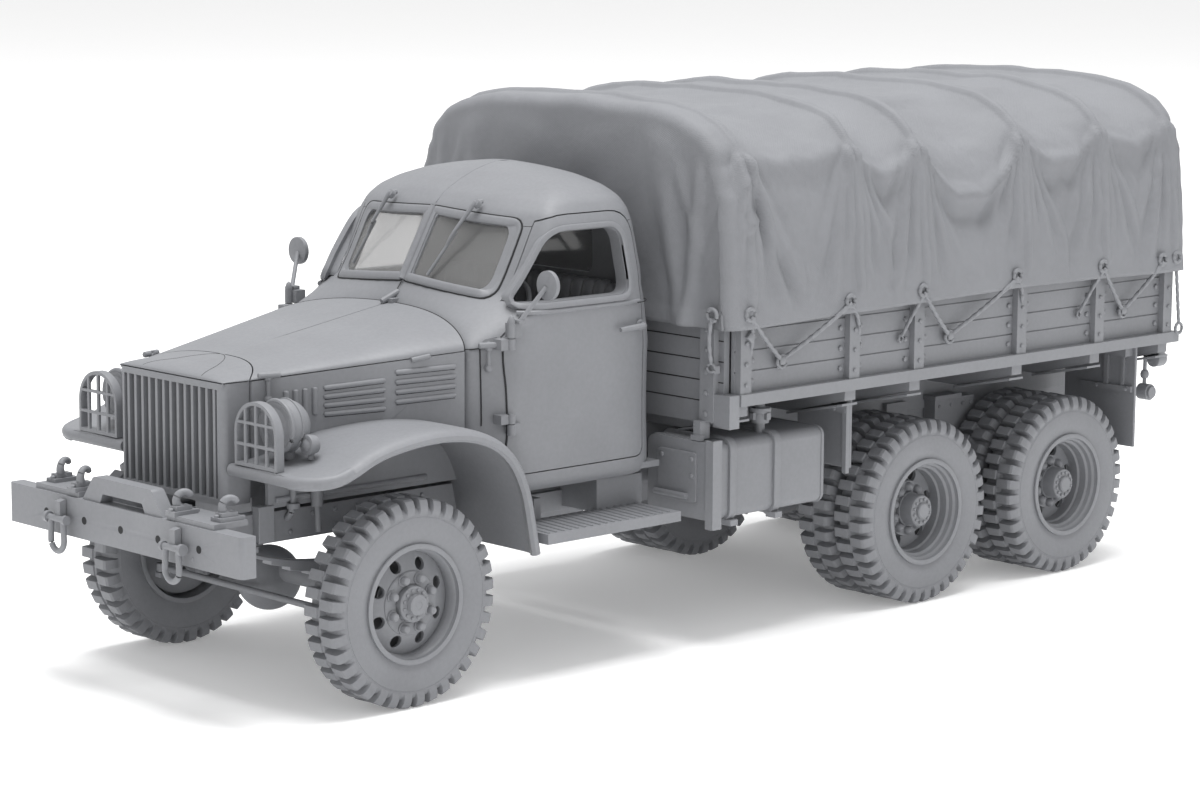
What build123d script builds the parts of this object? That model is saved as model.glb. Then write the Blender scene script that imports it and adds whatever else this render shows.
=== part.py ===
from build123d import *
import os
from math import asin, atan2, cos, degrees, radians, sin, tan

# A 1:35 display model of a 6x6 military cargo truck with a closed cab and a canvas tilt.
# Millimetres, +Z up, the truck faces -Y and its left side is +X. Stations along the truck are written
# as distances behind the front axle. Heights are drawn with every axle at AXLE_Z, and keep() puts the
# middle of the whole length on the origin and the tyres' treads on the ground.

os.makedirs("parts", exist_ok=True)

# ---- Wheels and axles ----
TYRE_R = 13.3
AXLE_Z = 13.3
TYRE_HALF = 3.15
BEAD_R = 7.5
RIM_R = 7.65
BARREL_R = 7.42
BARREL_WALL = 0.4
FRONT_WHEEL_X = 23.85
KING_PIN_X = 18.3
REAR_OUTER_X = 25.95
REAR_INNER_X = 19.05
REAR_AXLES = (93.5, 125.5)
SPINDLE_R = 0.9
RUNNING_GAP = 0.08
AXLE_TUBE_R = 1.3
BALL_R = 2.3
KNUCKLE_R = 3.1
STEER_ARM = 5.6
TIE_ROD_R = 0.45

# ---- Frame ----
RAIL_OUT = 12.9
RAIL_WIDE = 2.0
RAIL_LOW = 20.6
RAIL_TOP = 24.5
RAIL_SHEET = 0.5
RAIL_TAIL = 147.0
BUMPER_FACE = -25.4
BUMPER_THICK = 2.2
BUMPER_HALF = 24.8
BUMPER_LOW = 19.65
BUMPER_TOP = 24.8

# ---- Nose, hood and fenders ----
GRILLE_FACE = -17.6
GRILLE_BACK = -13.4
GRILLE_HALF = 10.9
GRILLE_LOW = 25.6
GRILLE_TOP = 40.9
GRILLE_BARS = 13
SHEET = 0.8
SEAM = 0.12
HOOD_FRONT_HALF = 11.2
HOOD_REAR = 14.0
HOOD_FRONT_TOP = 41.9
HOOD_REAR_TOP = 46.4
HOOD_FRONT_SIDE = 40.9
HOOD_REAR_SIDE = 43.0
HOOD_PEAK = -9.4
HOOD_GAP = 0.18
FENDER_OUT = 28.2
FENDER_WALL = 1.1
LINER_X = 13.4
LINER_LOW = 25.2

# ---- Fuel tank and tool box ----
TANK_IN = 17.0
BOX_ARMS = (54.5, 66.5)

# ---- Cab ----
CAB_HALF = 22.4
HOOD_REAR_HALF = CAB_HALF - 2.4
CAB_WALL = 0.9
CAB_BACK = 47.5
SILL_LOW = 23.8
BELT = 47.9
ROOF_SEAM = 57.8
ROOF_TOP = 64.8
RAIL_HALF = CAB_HALF - 2.5
RAIL_Z = 58.5
DOOR_THICK = 1.2
DOOR_GAP = 0.15
HANDLE_Z = 44.0
HINGE_X = CAB_HALF + 0.6
HINGE_Y = 19.3
HINGE_R = 0.55
DOOR_KNUCKLES = ((44.6, 46.4), (32.0, 33.4))
CAB_KNUCKLES = ((43.1, 44.5), (33.5, 34.7))

# ---- Load bed and tilt ----
BED_FRONT = 51.6
BED_TAIL = 147.6
BED_FLOOR_LOW = 33.1
BED_FLOOR_TOP = 34.3
BED_TOP = 46.0
BED_HALF = 30.3
BOARD = 0.7
BOARD_TALL = 2.8
STAKE_OUT = 31.3
STAKES = (52.8, 74.2, 87.6, 110.0, 128.0, 144.5)
STAKE_WIDE = 2.1
RAIL_EDGE_OUT = 31.6
TILT_HALF = 32.2
TILT_WALL = 0.5
TILT_LOW = 43.8
TILT_TOP = 73.0
TILT_SHOULDER = 64.0
TILT_SHOULDER_HALF = 29.4
TAILGATE_THICK = 1.0

# ---- Ends of the whole truck, for the origin ----
SHACKLE_NOSE = BUMPER_FACE - 1.6
TAIL_END = 150.6
MIDDLE = (SHACKLE_NOSE + TAIL_END) / 2


def face_of(rows):
    """Closed flat face from rows (u, v, corner radius)."""
    points = [Vector(u, v) for u, v, r in rows]
    ways_in = []
    ways_out = []
    edges = []
    arcs = []
    for i, (u, v, r) in enumerate(rows):
        here = points[i]
        back = (points[i - 1] - here).normalized()
        ahead = (points[(i + 1) % len(rows)] - here).normalized()
        if r == 0:
            ways_in.append(here)
            ways_out.append(here)
            continue
        half = radians(back.get_angle(ahead) / 2)
        ways_in.append(here + back * (r / tan(half)))
        ways_out.append(here + ahead * (r / tan(half)))
        middle = here + (back + ahead).normalized() * (r / sin(half) - r)
        arcs.append(ThreePointArc(ways_in[-1], middle, ways_out[-1]))
    for i in range(len(rows)):
        start = ways_out[i - 1]
        end = ways_in[i]
        if (end - start).length > 1e-6:
            edges.append(Line(start, end))
    return make_face(edges + arcs)


def along_x(rows, x0, x1):
    """Outline rows (y, z, corner radius) carried from x0 to x1."""
    return extrude(Plane.YZ.offset(x0) * face_of(rows), x1 - x0)


def along_y(rows, y0, y1):
    """Outline rows (x, z, corner radius) carried from y0 to y1."""
    start = Plane(origin=(0, y1, 0), x_dir=(1, 0, 0), z_dir=(0, -1, 0))
    return extrude(start * face_of(rows), y1 - y0)


def along_z(rows, z0, z1):
    """Outline rows (x, y, corner radius) carried from z0 to z1."""
    return extrude(Plane.XY.offset(z0) * face_of(rows), z1 - z0)


def block(x0, x1, y0, y1, z0, z1):
    """Plain box between two corners."""
    return Pos((x0 + x1) / 2, (y0 + y1) / 2, (z0 + z1) / 2) * Box(x1 - x0, y1 - y0, z1 - z0)


def bar_x(x0, x1, y, z, r):
    """Round bar along X."""
    return Pos((x0 + x1) / 2, y, z) * Rot(0, 90, 0) * Cylinder(r, x1 - x0)


def bar_y(x, y0, y1, z, r):
    """Round bar along Y."""
    return Pos(x, (y0 + y1) / 2, z) * Rot(90, 0, 0) * Cylinder(r, y1 - y0)


def bar_z(x, y, z0, z1, r):
    """Round bar along Z."""
    return Pos(x, y, (z0 + z1) / 2) * Cylinder(r, z1 - z0)


def bar(start, end, r):
    """Round bar between two points."""
    a = Vector(*start)
    b = Vector(*end)
    return Plane(origin=(a + b) / 2, z_dir=b - a) * Cylinder(r, (b - a).length)


def other_side(solid):
    """The same piece on the truck's right side."""
    return mirror(solid, about=Plane.YZ)


def both(solid):
    """A piece and its twin on the right side."""
    return [solid, other_side(solid)]


def keep(name, pieces):
    """Write one node, with the truck's middle over the origin and its treads on the ground."""
    if not isinstance(pieces, list):
        pieces = [pieces]
    solids = []
    for piece in pieces:
        solids += [Pos(0, -MIDDLE, TYRE_R - AXLE_Z) * solid for solid in piece.solids()]
    export_step(Compound(children=solids), "parts/" + name + ".step")


def round_about(rows, y, x):
    """Ring of revolution about the wheel's X axis from rows (x, radius, corner radius)."""
    line = Axis((0, 0, 0), (1, 0, 0))
    return Pos(x, y, AXLE_Z) * revolve(face_of(rows), line, 360)


# ---- Wheels ----
def tyre(y, x):
    """One tyre: bead, bulged side walls and a flat crown."""
    return round_about([
        (-TYRE_HALF + 0.3, BEAD_R, 0), (TYRE_HALF - 0.3, BEAD_R, 0),
        (TYRE_HALF - 0.3, RIM_R + 0.15, 0), (TYRE_HALF, RIM_R + 1.6, 0.8),
        (TYRE_HALF, TYRE_R - 1.6, 0.8), (TYRE_HALF - 0.35, TYRE_R, 0.3),
        (-TYRE_HALF + 0.35, TYRE_R, 0.3), (-TYRE_HALF, TYRE_R - 1.6, 0.8),
        (-TYRE_HALF, RIM_R + 1.6, 0.8), (-TYRE_HALF + 0.3, RIM_R + 0.15, 0)], y, x)


def barrel(y, x):
    """Rim barrel with a flange at each edge."""
    lip = TYRE_HALF - 0.25
    return round_about([
        (-TYRE_HALF, BARREL_R - BARREL_WALL, 0), (TYRE_HALF, BARREL_R - BARREL_WALL, 0),
        (TYRE_HALF, RIM_R, 0), (lip, RIM_R, 0), (lip, BARREL_R, 0),
        (-lip, BARREL_R, 0), (-lip, RIM_R, 0), (-TYRE_HALF, RIM_R, 0)], y, x)


def drilled(solid, y, x, count, pitch_r, hole_r):
    """Round holes through a wheel disc, evenly spaced."""
    for i in range(count):
        turn = radians(360 * (i + 0.5) / count)
        solid -= bar_x(x - 4, x + 4, y + pitch_r * cos(turn), AXLE_Z + pitch_r * sin(turn), hole_r)
    return solid


FRONT_VENTS = 8
FRONT_VENT_PITCH = 5.1
FRONT_VENT_R = 0.8
REAR_VENTS = 6
REAR_VENT_PITCH = 5.2
REAR_VENT_R = 0.95
HUB_BORE_R = SPINDLE_R + RUNNING_GAP
HUB_R = 2.4


def front_rim():
    """Front rim: barrel, dished disc, hub and cap."""
    x = FRONT_WHEEL_X
    inside = BARREL_R - BARREL_WALL + 0.1
    disc = round_about([
        (0.2, inside, 0), (0.8, inside, 0), (1.0, 6.2, 0), (1.9, 3.9, 0), (1.9, 1.2, 0),
        (1.3, 1.2, 0), (1.3, 3.9, 0), (0.4, 6.2, 0)], 0, x)
    disc = drilled(disc, 0, x, FRONT_VENTS, FRONT_VENT_PITCH, FRONT_VENT_R)
    hub = bar_x(x - 2.1, x + 1.9, 0, AXLE_Z, HUB_R)
    cap = bar_x(x + 1.8, x + 2.8, 0, AXLE_Z, 2.0) + bar_x(x + 2.7, x + 3.6, 0, AXLE_Z, 1.3)
    return barrel(0, x) + disc + hub + cap - bar_x(x - 3, x + 0.9, 0, AXLE_Z, HUB_BORE_R)


DRUM_R = 5.5
DUAL_FACE = (REAR_OUTER_X + REAR_INNER_X) / 2


def rear_rims(y):
    """Twin rims bolted to one hub, with the brake drum behind them."""
    inside = BARREL_R - BARREL_WALL + 0.1
    reach = REAR_OUTER_X - DUAL_FACE
    outer = round_about([
        (reach - 1.9, inside, 0), (reach - 1.3, inside, 0), (reach - 1.3, 6.3, 0), (0.6, 4.6, 0),
        (0.6, 1.2, 0), (0, 1.2, 0), (0, 4.7, 0), (reach - 1.9, 6.6, 0)], y, DUAL_FACE)
    inner = round_about([
        (-reach + 1.9, inside, 0), (-reach + 1.3, inside, 0), (-reach + 1.3, 6.3, 0), (-0.6, 4.6, 0),
        (-0.6, 1.2, 0), (0, 1.2, 0), (0, 4.7, 0), (-reach + 1.9, 6.6, 0)], y, DUAL_FACE)
    discs = drilled(outer + inner, y, DUAL_FACE, REAR_VENTS, REAR_VENT_PITCH, REAR_VENT_R)
    hub = bar_x(DUAL_FACE - 6.3, DUAL_FACE + 1.4, y, AXLE_Z, HUB_R)
    hub += bar_x(DUAL_FACE + 1.3, DUAL_FACE + 4.6, y, AXLE_Z, 2.1)
    drum = bar_x(DUAL_FACE - 7.5, DUAL_FACE - 4.2, y, AXLE_Z, DRUM_R)
    rims = barrel(y, REAR_OUTER_X) + barrel(y, REAR_INNER_X) + discs + hub + drum
    return rims - bar_x(DUAL_FACE - 8, DUAL_FACE - 0.6, y, AXLE_Z, HUB_BORE_R)


keep("tyre_front_left", tyre(0, FRONT_WHEEL_X))
keep("tyre_front_right", other_side(tyre(0, FRONT_WHEEL_X)))
keep("rim_front_left", front_rim())
keep("rim_front_right", other_side(front_rim()))
for number, station in enumerate(REAR_AXLES, 1):
    pair = [tyre(station, REAR_OUTER_X), tyre(station, REAR_INNER_X)]
    rims = rear_rims(station)
    keep(f"tyres_rear_{number}_left", pair)
    keep(f"tyres_rear_{number}_right", [other_side(one) for one in pair])
    keep(f"rims_rear_{number}_left", rims)
    keep(f"rims_rear_{number}_right", other_side(rims))

# ---- Front axle, knuckles and tie rod ----
SPRING_X0 = 12.1
SPRING_X1 = 13.9
SPRING_HALF = 15.4
SPRING_END = 19.8
SPRING_MID = 17.3
LEAF = 0.45
LEAVES = 4
FRONT_DIFF_X = -3.0
DIFF_R = 4.3
DIFF_Z = 12.0

axle = bar_x(-KING_PIN_X, KING_PIN_X, 0, AXLE_Z, AXLE_TUBE_R)
for side in (-1, 1):
    axle += Pos(side * KING_PIN_X, 0, AXLE_Z) * Sphere(BALL_R)
axle += Pos(FRONT_DIFF_X, 0, DIFF_Z) * Sphere(DIFF_R)
axle += bar_y(FRONT_DIFF_X, 3.0, 6.2, DIFF_Z, 1.5)
pad = block(SPRING_X0, SPRING_X1, -1.7, 1.7, AXLE_Z, SPRING_MID - LEAF * LEAVES)
axle = axle + pad + other_side(pad)
keep("front_axle", axle)

ARM_TOP = 10.95
ARM_LOW = 10.3


def knuckle():
    """Steering knuckle: half shell round the axle's ball, spindle, king-pin bosses and steering arm."""
    centre = Pos(KING_PIN_X, 0, AXLE_Z)
    shell = centre * Sphere(KNUCKLE_R) & block(KING_PIN_X - 0.3, KING_PIN_X + 4, -4, 4, 9, 18)
    shell += bar_z(KING_PIN_X, 0, AXLE_Z + KNUCKLE_R - 0.6, AXLE_Z + KNUCKLE_R + 0.4, 1.0)
    shell += bar_z(KING_PIN_X, 0, AXLE_Z - KNUCKLE_R - 0.4, AXLE_Z - KNUCKLE_R + 0.6, 1.0)
    shell += block(KING_PIN_X, KING_PIN_X + 1.2, -STEER_ARM - 0.7, -0.8, ARM_LOW, ARM_TOP)
    shell -= centre * Sphere(BALL_R + 0.12)
    spindle_end = FRONT_WHEEL_X + 0.6
    shell += bar_x(KING_PIN_X + BALL_R + 0.2, spindle_end, 0, AXLE_Z, SPINDLE_R)
    shell += bar_x(KING_PIN_X + 2.6, FRONT_WHEEL_X - 2.3, 0, AXLE_Z, 2.6)
    return shell


keep("knuckle_left", knuckle())
keep("knuckle_right", other_side(knuckle()))

TIE_ROD_Z = ARM_TOP + 0.65
tie_rod = bar_x(-KING_PIN_X - 0.6, KING_PIN_X + 0.6, -STEER_ARM, TIE_ROD_Z, TIE_ROD_R)
for side in (-1, 1):
    tie_rod += bar_z(side * (KING_PIN_X + 0.6), -STEER_ARM, ARM_TOP + 0.12, ARM_TOP + 1.2, 0.75)
keep("tie_rod", tie_rod)


def leaf_pack(y, half, z_end, z_mid, leaves, x0, x1):
    """Leaf spring: concentric leaves, each shorter than the one above it."""
    rise = z_end - z_mid
    r = (half * half + rise * rise) / (2 * rise)
    centre_z = z_mid + r
    pack = None
    for i in range(leaves):
        turn = asin(half / r) * (1 - 0.2 * i)
        low = r + LEAF * (i + 1) if rise > 0 else r - LEAF * i
        top = r + LEAF * i if rise > 0 else r - LEAF * (i + 1)
        rows = []
        for radius, angle in ((top, -turn), (top, 0), (top, turn), (low, turn), (low, 0), (low, -turn)):
            rows.append(Vector(y + radius * sin(angle), centre_z - radius * cos(angle)))
        leaf = make_face([
            ThreePointArc(rows[0], rows[1], rows[2]), Line(rows[2], rows[3]),
            ThreePointArc(rows[3], rows[4], rows[5]), Line(rows[5], rows[0])])
        solid = extrude(Plane.YZ.offset(x0) * leaf, x1 - x0)
        pack = solid if pack is None else pack + solid
    return pack


front_spring = leaf_pack(0, SPRING_HALF, SPRING_END, SPRING_MID, LEAVES, SPRING_X0, SPRING_X1)
keep("front_springs", both(front_spring))

# ---- Rear bogie ----
BOGIE_MID = (REAR_AXLES[0] + REAR_AXLES[1]) / 2
BOGIE_HALF = (REAR_AXLES[1] - REAR_AXLES[0]) / 2
REAR_TUBE_R = 1.5
REAR_TUBE_HALF = 14.7
REAR_DIFF_Z = 13.0
REAR_DIFF_R = 4.2
REAR_SPRING_X0 = 10.9
REAR_SPRING_X1 = 13.3
REAR_LEAVES = 5
REAR_SPRING_Z = 15.1
BOGIE_PEAK = 18.0
for number, station in enumerate(REAR_AXLES, 1):
    tube = bar_x(-REAR_TUBE_HALF, REAR_TUBE_HALF, station, AXLE_Z, REAR_TUBE_R)
    tube += bar_x(-DUAL_FACE + 1, DUAL_FACE - 1, station, AXLE_Z, SPINDLE_R)
    tube += Pos(0, station, REAR_DIFF_Z) * Rot(0, 90, 0) * Sphere(REAR_DIFF_R)
    keep(f"rear_axle_{number}", tube)

rear_spring = leaf_pack(BOGIE_MID, BOGIE_HALF + 0.6, REAR_SPRING_Z, BOGIE_PEAK, REAR_LEAVES,
                        REAR_SPRING_X0, REAR_SPRING_X1)
keep("rear_springs", both(rear_spring))

# ---- Engine, radiator and drive line ----
engine = block(-6, 6, -9.5, 12, 20.0, 38)
radiator = block(-9.6, 9.6, -13.1, -11.2, 25.8, 40)
keep("engine_block", [engine, radiator])

GEARBOX_BACK = 26.0
TRANSFER_Y0 = 56.0
TRANSFER_Y1 = 66.0
SHAFT_R = 0.7
gearbox = block(-3.2, 3.2, 12.1, GEARBOX_BACK, 18.2, 24.3)
main_shaft = bar_y(0, GEARBOX_BACK, TRANSFER_Y0, 19.4, SHAFT_R)
transfer_case = block(-5.2, 4.4, TRANSFER_Y0, TRANSFER_Y1, 15.5, 21.3)
front_shaft = bar((FRONT_DIFF_X, TRANSFER_Y0, 17.0), (FRONT_DIFF_X, 6.6, DIFF_Z + 0.2), SHAFT_R)
rear_shaft = bar((0, TRANSFER_Y1, 18.0), (0, REAR_AXLES[0] - REAR_DIFF_R - 0.3, 14.6), SHAFT_R)
bogie_shaft = bar_y(0, REAR_AXLES[0] + REAR_DIFF_R, REAR_AXLES[1] - REAR_DIFF_R, 13.4, SHAFT_R)
keep("drive_line", [gearbox + main_shaft + transfer_case + front_shaft + rear_shaft, bogie_shaft])

# ---- Frame: two channel rails, cross members, spring hangers and the bogie's cross tube ----
web = block(RAIL_OUT - RAIL_SHEET, RAIL_OUT, BUMPER_FACE + BUMPER_THICK, RAIL_TAIL, RAIL_LOW, RAIL_TOP)
for low in (RAIL_LOW, RAIL_TOP - RAIL_SHEET):
    web += block(RAIL_OUT - RAIL_WIDE, RAIL_OUT, BUMPER_FACE + BUMPER_THICK, RAIL_TAIL,
                 low, low + RAIL_SHEET)
for station in (-SPRING_HALF, SPRING_HALF):
    web += block(RAIL_OUT - RAIL_WIDE, SPRING_X1, station - 0.9, station + 0.9,
                 SPRING_END + 0.05, RAIL_LOW + 0.01)
frame = web + other_side(web)
CROSS_STATIONS = (-21.0, 30.0, 50.0, 78.0, 109.5, 140.0)
for station in CROSS_STATIONS:
    frame += block(-RAIL_OUT + 0.2, RAIL_OUT - 0.2, station - 0.8, station + 0.8, 21.8, 23.6)
for side in (-1, 1):
    hanger = block(RAIL_OUT - RAIL_WIDE, RAIL_OUT, BOGIE_MID - 1.5, BOGIE_MID + 1.5,
                   BOGIE_PEAK + LEAF * REAR_LEAVES + 0.05, RAIL_LOW + 0.01)
    frame += hanger if side > 0 else other_side(hanger)
for station in BOX_ARMS:
    arm = block(RAIL_OUT - 0.1, TANK_IN - 0.05, station - 0.8, station + 0.8, 21.0, 24.0)
    frame += arm
    frame += other_side(arm)
keep("frame_rails", frame)

# ---- Bumper, guard and tow hooks ----
BUMPER_HOLE_R = 0.35
BUMPER_HOLES = (-16.3, -7.9, 0.0, 7.9, 16.3)
HOLE_Z = 22.1
bumper = along_z([
    (-BUMPER_HALF, BUMPER_FACE, 0.6), (BUMPER_HALF, BUMPER_FACE, 0.6),
    (BUMPER_HALF, BUMPER_FACE + BUMPER_THICK, 0), (-BUMPER_HALF, BUMPER_FACE + BUMPER_THICK, 0)],
    BUMPER_LOW, BUMPER_TOP)
for x in BUMPER_HOLES:
    bumper -= bar_y(x, BUMPER_FACE - 1, BUMPER_FACE + BUMPER_THICK + 1, HOLE_Z, BUMPER_HOLE_R)
guard = along_y([
    (-8.6, BUMPER_TOP, 0), (-6.2, 28.0, 0.8), (6.2, 28.0, 0.8), (8.6, BUMPER_TOP, 0)],
    BUMPER_FACE + 0.3, BUMPER_FACE + BUMPER_THICK)
guard -= along_y([
    (-4.8, BUMPER_TOP - 0.01, 0), (-4.2, 26.0, 0.3), (4.2, 26.0, 0.3), (4.8, BUMPER_TOP - 0.01, 0)],
    BUMPER_FACE - 1, BUMPER_FACE + BUMPER_THICK + 1)
keep("front_bumper", bumper + guard)

SHACKLES = (-12.3, 12.3)
SHACKLE_Y = BUMPER_FACE - 1.1
SHACKLE_BEND = 19.4
shackles = []
for x in SHACKLES:
    eye = block(x - 0.5, x + 0.5, BUMPER_FACE - 1.6, BUMPER_FACE, 21.2, 23.6)
    pin = bar_x(x - 2.0, x + 2.0, SHACKLE_Y, 21.9, 0.5)
    shackles.append(eye + pin)
    ring = Pos(x, SHACKLE_Y, SHACKLE_BEND) * Rot(90, 0, 0) * Torus(1.3, 0.4)
    bow = ring & block(x - 3, x + 3, SHACKLE_Y - 1, SHACKLE_Y + 1, SHACKLE_BEND - 3, SHACKLE_BEND)
    for leg in (-1.3, 1.3):
        bow += bar_z(x + leg, SHACKLE_Y, SHACKLE_BEND, 22.1, 0.4)
    shackles[-1] = shackles[-1] + bow
HOOK_PLATE = 0.7
hooks = []
for side in (-1, 1):
    plate_top = BUMPER_TOP + HOOK_PLATE
    plate = block(9.4, 19.0, BUMPER_FACE + 0.3, BUMPER_FACE + BUMPER_THICK + 3.2, BUMPER_TOP, plate_top)
    for x, y in ((10.6, -23.6), (17.6, -21.6)):
        ring = Pos(x, y, plate_top + 1.35) * Rot(0, 90, 0) * Torus(1.1, 0.45)
        plate += ring + block(x - 0.6, x + 0.6, y - 1.2, y + 1.2, plate_top - 0.1, plate_top + 0.6)
    hooks.append(plate if side > 0 else other_side(plate))
keep("tow_fittings", hooks + shackles)

# ---- Grille shell, nose and hood ----
GRILLE_WALL = 0.8
grille = along_z([
    (-GRILLE_HALF, GRILLE_FACE, 1.0), (GRILLE_HALF, GRILLE_FACE, 1.0),
    (GRILLE_HALF, GRILLE_BACK, 0), (-GRILLE_HALF, GRILLE_BACK, 0)], GRILLE_LOW, GRILLE_TOP)
grille -= block(-GRILLE_HALF + GRILLE_WALL, GRILLE_HALF - GRILLE_WALL, GRILLE_FACE + GRILLE_WALL, 0,
                GRILLE_LOW + GRILLE_WALL, GRILLE_TOP - GRILLE_WALL)
mouth = GRILLE_HALF - 1.1
grille -= block(-mouth, mouth, GRILLE_FACE - 1, GRILLE_FACE + 1.5,
                GRILLE_LOW + GRILLE_WALL, GRILLE_TOP - GRILLE_WALL)
BAR_WIDE = 0.5
BAR_DEEP = 1.2
for i in range(GRILLE_BARS):
    x = -mouth + 2 * mouth * (i + 0.5) / GRILLE_BARS
    grille += block(x - BAR_WIDE / 2, x + BAR_WIDE / 2, GRILLE_FACE + 0.1, GRILLE_FACE + BAR_DEEP,
                    GRILLE_LOW + GRILLE_WALL - 0.05, GRILLE_TOP - GRILLE_WALL + 0.05)
keep("grille_shell", grille)


def hood_section(y, half, top, side_z, grow):
    """Hood's cross-section at a station: crowned skin from the centre line to the side seam."""
    corner = half - 1.8
    rows = [
        Vector(0, top - grow), Vector(corner * 0.55, top - 0.28 * (top - side_z) * 0.55 - grow),
        Vector(corner, top - 0.42 * (top - side_z) - grow),
        Vector(half - 0.45 - grow, top - 0.72 * (top - side_z) - 0.4 * grow), Vector(half - grow, side_z)]
    return [ThreePointArc(rows[0], rows[1], rows[2]), ThreePointArc(rows[2], rows[3], rows[4])], rows


def hood_skin(y, half, top, side_z):
    """Flat face of the left half's sheet at a station."""
    outer, a = hood_section(y, half, top, side_z, 0)
    inner, b = hood_section(y, half, top, side_z, SHEET)
    face = make_face(outer + inner + [Line(a[4], b[4]), Line(b[0], a[0])])
    return Plane(origin=(0, y, 0), x_dir=(1, 0, 0), z_dir=(0, -1, 0)) * face


def along_hood(y, front, rear):
    """Value on the straight line through the hood's two end sections."""
    return front + (rear - front) * (y - GRILLE_BACK) / (HOOD_REAR - GRILLE_BACK)



def nose_outline(grow):
    """Plan of the nose piece: straight at the grille, its rear edge curving to a peak on the centre line."""
    return [(-14, GRILLE_FACE - 3, 0), (14, GRILLE_FACE - 3, 0), (14, GRILLE_BACK + grow, 0),
            (HOOD_FRONT_HALF, GRILLE_BACK + grow, 0), (7.5, HOOD_PEAK - 0.6 + grow, 5.0),
            (0, HOOD_PEAK + grow, 0), (-7.5, HOOD_PEAK - 0.6 + grow, 5.0),
            (-HOOD_FRONT_HALF, GRILLE_BACK + grow, 0), (-14, GRILLE_BACK + grow, 0)]


NOSE_FRONT = GRILLE_FACE + 0.1
stations = (GRILLE_BACK, HOOD_REAR)
faces = [hood_skin(y, along_hood(y, HOOD_FRONT_HALF, HOOD_REAR_HALF),
                   along_hood(y, HOOD_FRONT_TOP, HOOD_REAR_TOP),
                   along_hood(y, HOOD_FRONT_SIDE, HOOD_REAR_SIDE) + SEAM) for y in stations]
skin = loft(faces, ruled=True)
nose_faces = [hood_skin(NOSE_FRONT, GRILLE_HALF, HOOD_FRONT_TOP - 0.4, GRILLE_TOP + SEAM),
              hood_skin(GRILLE_BACK, HOOD_FRONT_HALF, HOOD_FRONT_TOP, GRILLE_TOP + SEAM)]
nose_half = loft(nose_faces, ruled=True) + (skin & along_z(nose_outline(0), 30, 60))
nose_lip = block(0, GRILLE_HALF - 1.0, NOSE_FRONT, NOSE_FRONT + 0.6, GRILLE_TOP + SEAM, HOOD_FRONT_TOP - 0.8)
nose_half += nose_lip
nose_half -= block(-1, 12, GRILLE_FACE - 1, GRILLE_BACK + SEAM, 30, GRILLE_TOP + SEAM)
keep("hood_nose", nose_half + other_side(nose_half))
hood_left = skin - along_z(nose_outline(HOOD_GAP), 30, 60) - block(-1, SEAM / 2, -30, 30, 30, 60)
keep("hood_left", hood_left)
keep("hood_right", other_side(hood_left))

# ---- Fenders: one profile carried across, with a fixed inner liner ----
FENDER_FRONT = -17.0
FENDER_TOP = [(FENDER_FRONT, 30.9), (-11.5, 31.6), (-6.8, 33.8), (-0.4, 34.8), (4.5, 34.9), (9.4, 34.2),
              (13.6, 32.6), (16.5, 29.8), (18.5, 25.7), (20.3, 17.3)]
FENDER_UNDER = [(19.2, 17.3), (17.5, 25.4), (15.7, 29.1), (13.0, 31.6), (9.1, 33.1), (4.5, 33.8),
                (-0.3, 33.7), (-6.4, 32.7), (-11.3, 30.5), (FENDER_FRONT, 29.8)]
FENDER_BEND = 2.5


def bent(rows):
    """Profile rows with a soft bend at every inner point."""
    return [(u, v, 0 if i in (0, len(rows) - 1) else FENDER_BEND) for i, (u, v) in enumerate(rows)]


def hood_side_x(y):
    """Half width of the hood at its side seam."""
    return along_hood(y, HOOD_FRONT_HALF, HOOD_REAR_HALF)


under_fender = bent(FENDER_TOP) + [(20.3, 0, 0), (FENDER_FRONT - 2, 0, 0), (FENDER_FRONT - 2, 30.9, 0)]
fender = along_x(bent(FENDER_TOP) + bent(FENDER_UNDER), GRILLE_HALF + SEAM, FENDER_OUT)
side_plan = [(GRILLE_HALF + SEAM, FENDER_FRONT - 1, 0), (FENDER_OUT + 5, FENDER_FRONT - 1, 0),
             (FENDER_OUT + 5, 25, 0),
             (LINER_X, 25, 0), (LINER_X, -6.6, 0), (GRILLE_HALF + SEAM, GRILLE_BACK, 0)]
fender = fender & along_z(side_plan, 0, 60)
LINER_IN = GRILLE_HALF + SEAM
LINER_WALL = 0.6
liner = along_z([
    (LINER_IN, GRILLE_BACK + SEAM, 0), (LINER_IN + LINER_WALL, GRILLE_BACK + SEAM, 0),
    (LINER_X + LINER_WALL, -6.6, 0), (LINER_X + LINER_WALL, 18.0, 0), (LINER_X, 18.0, 0), (LINER_X, -6.6, 0)],
    LINER_LOW, 34)
liner &= along_x(under_fender, 0, 40)
fender += liner
keep("fender_left", fender)
keep("fender_right", other_side(fender))

side_front = hood_side_x(GRILLE_BACK)
side_rear = hood_side_x(HOOD_REAR)
side_wall = along_z([
    (side_front - SHEET, GRILLE_BACK + SEAM, 0), (side_front, GRILLE_BACK + SEAM, 0),
    (side_rear, HOOD_REAR, 0), (side_rear - SHEET, HOOD_REAR, 0)], 25, 45)
side_wall &= along_x([(GRILLE_BACK, 25, 0), (HOOD_REAR, 25, 0), (HOOD_REAR, HOOD_REAR_SIDE, 0),
                      (GRILLE_BACK, HOOD_FRONT_SIDE, 0)], 0, 30)
side_wall -= along_x(under_fender, 0, 40)
keep("hood_sides", both(side_wall))

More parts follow.
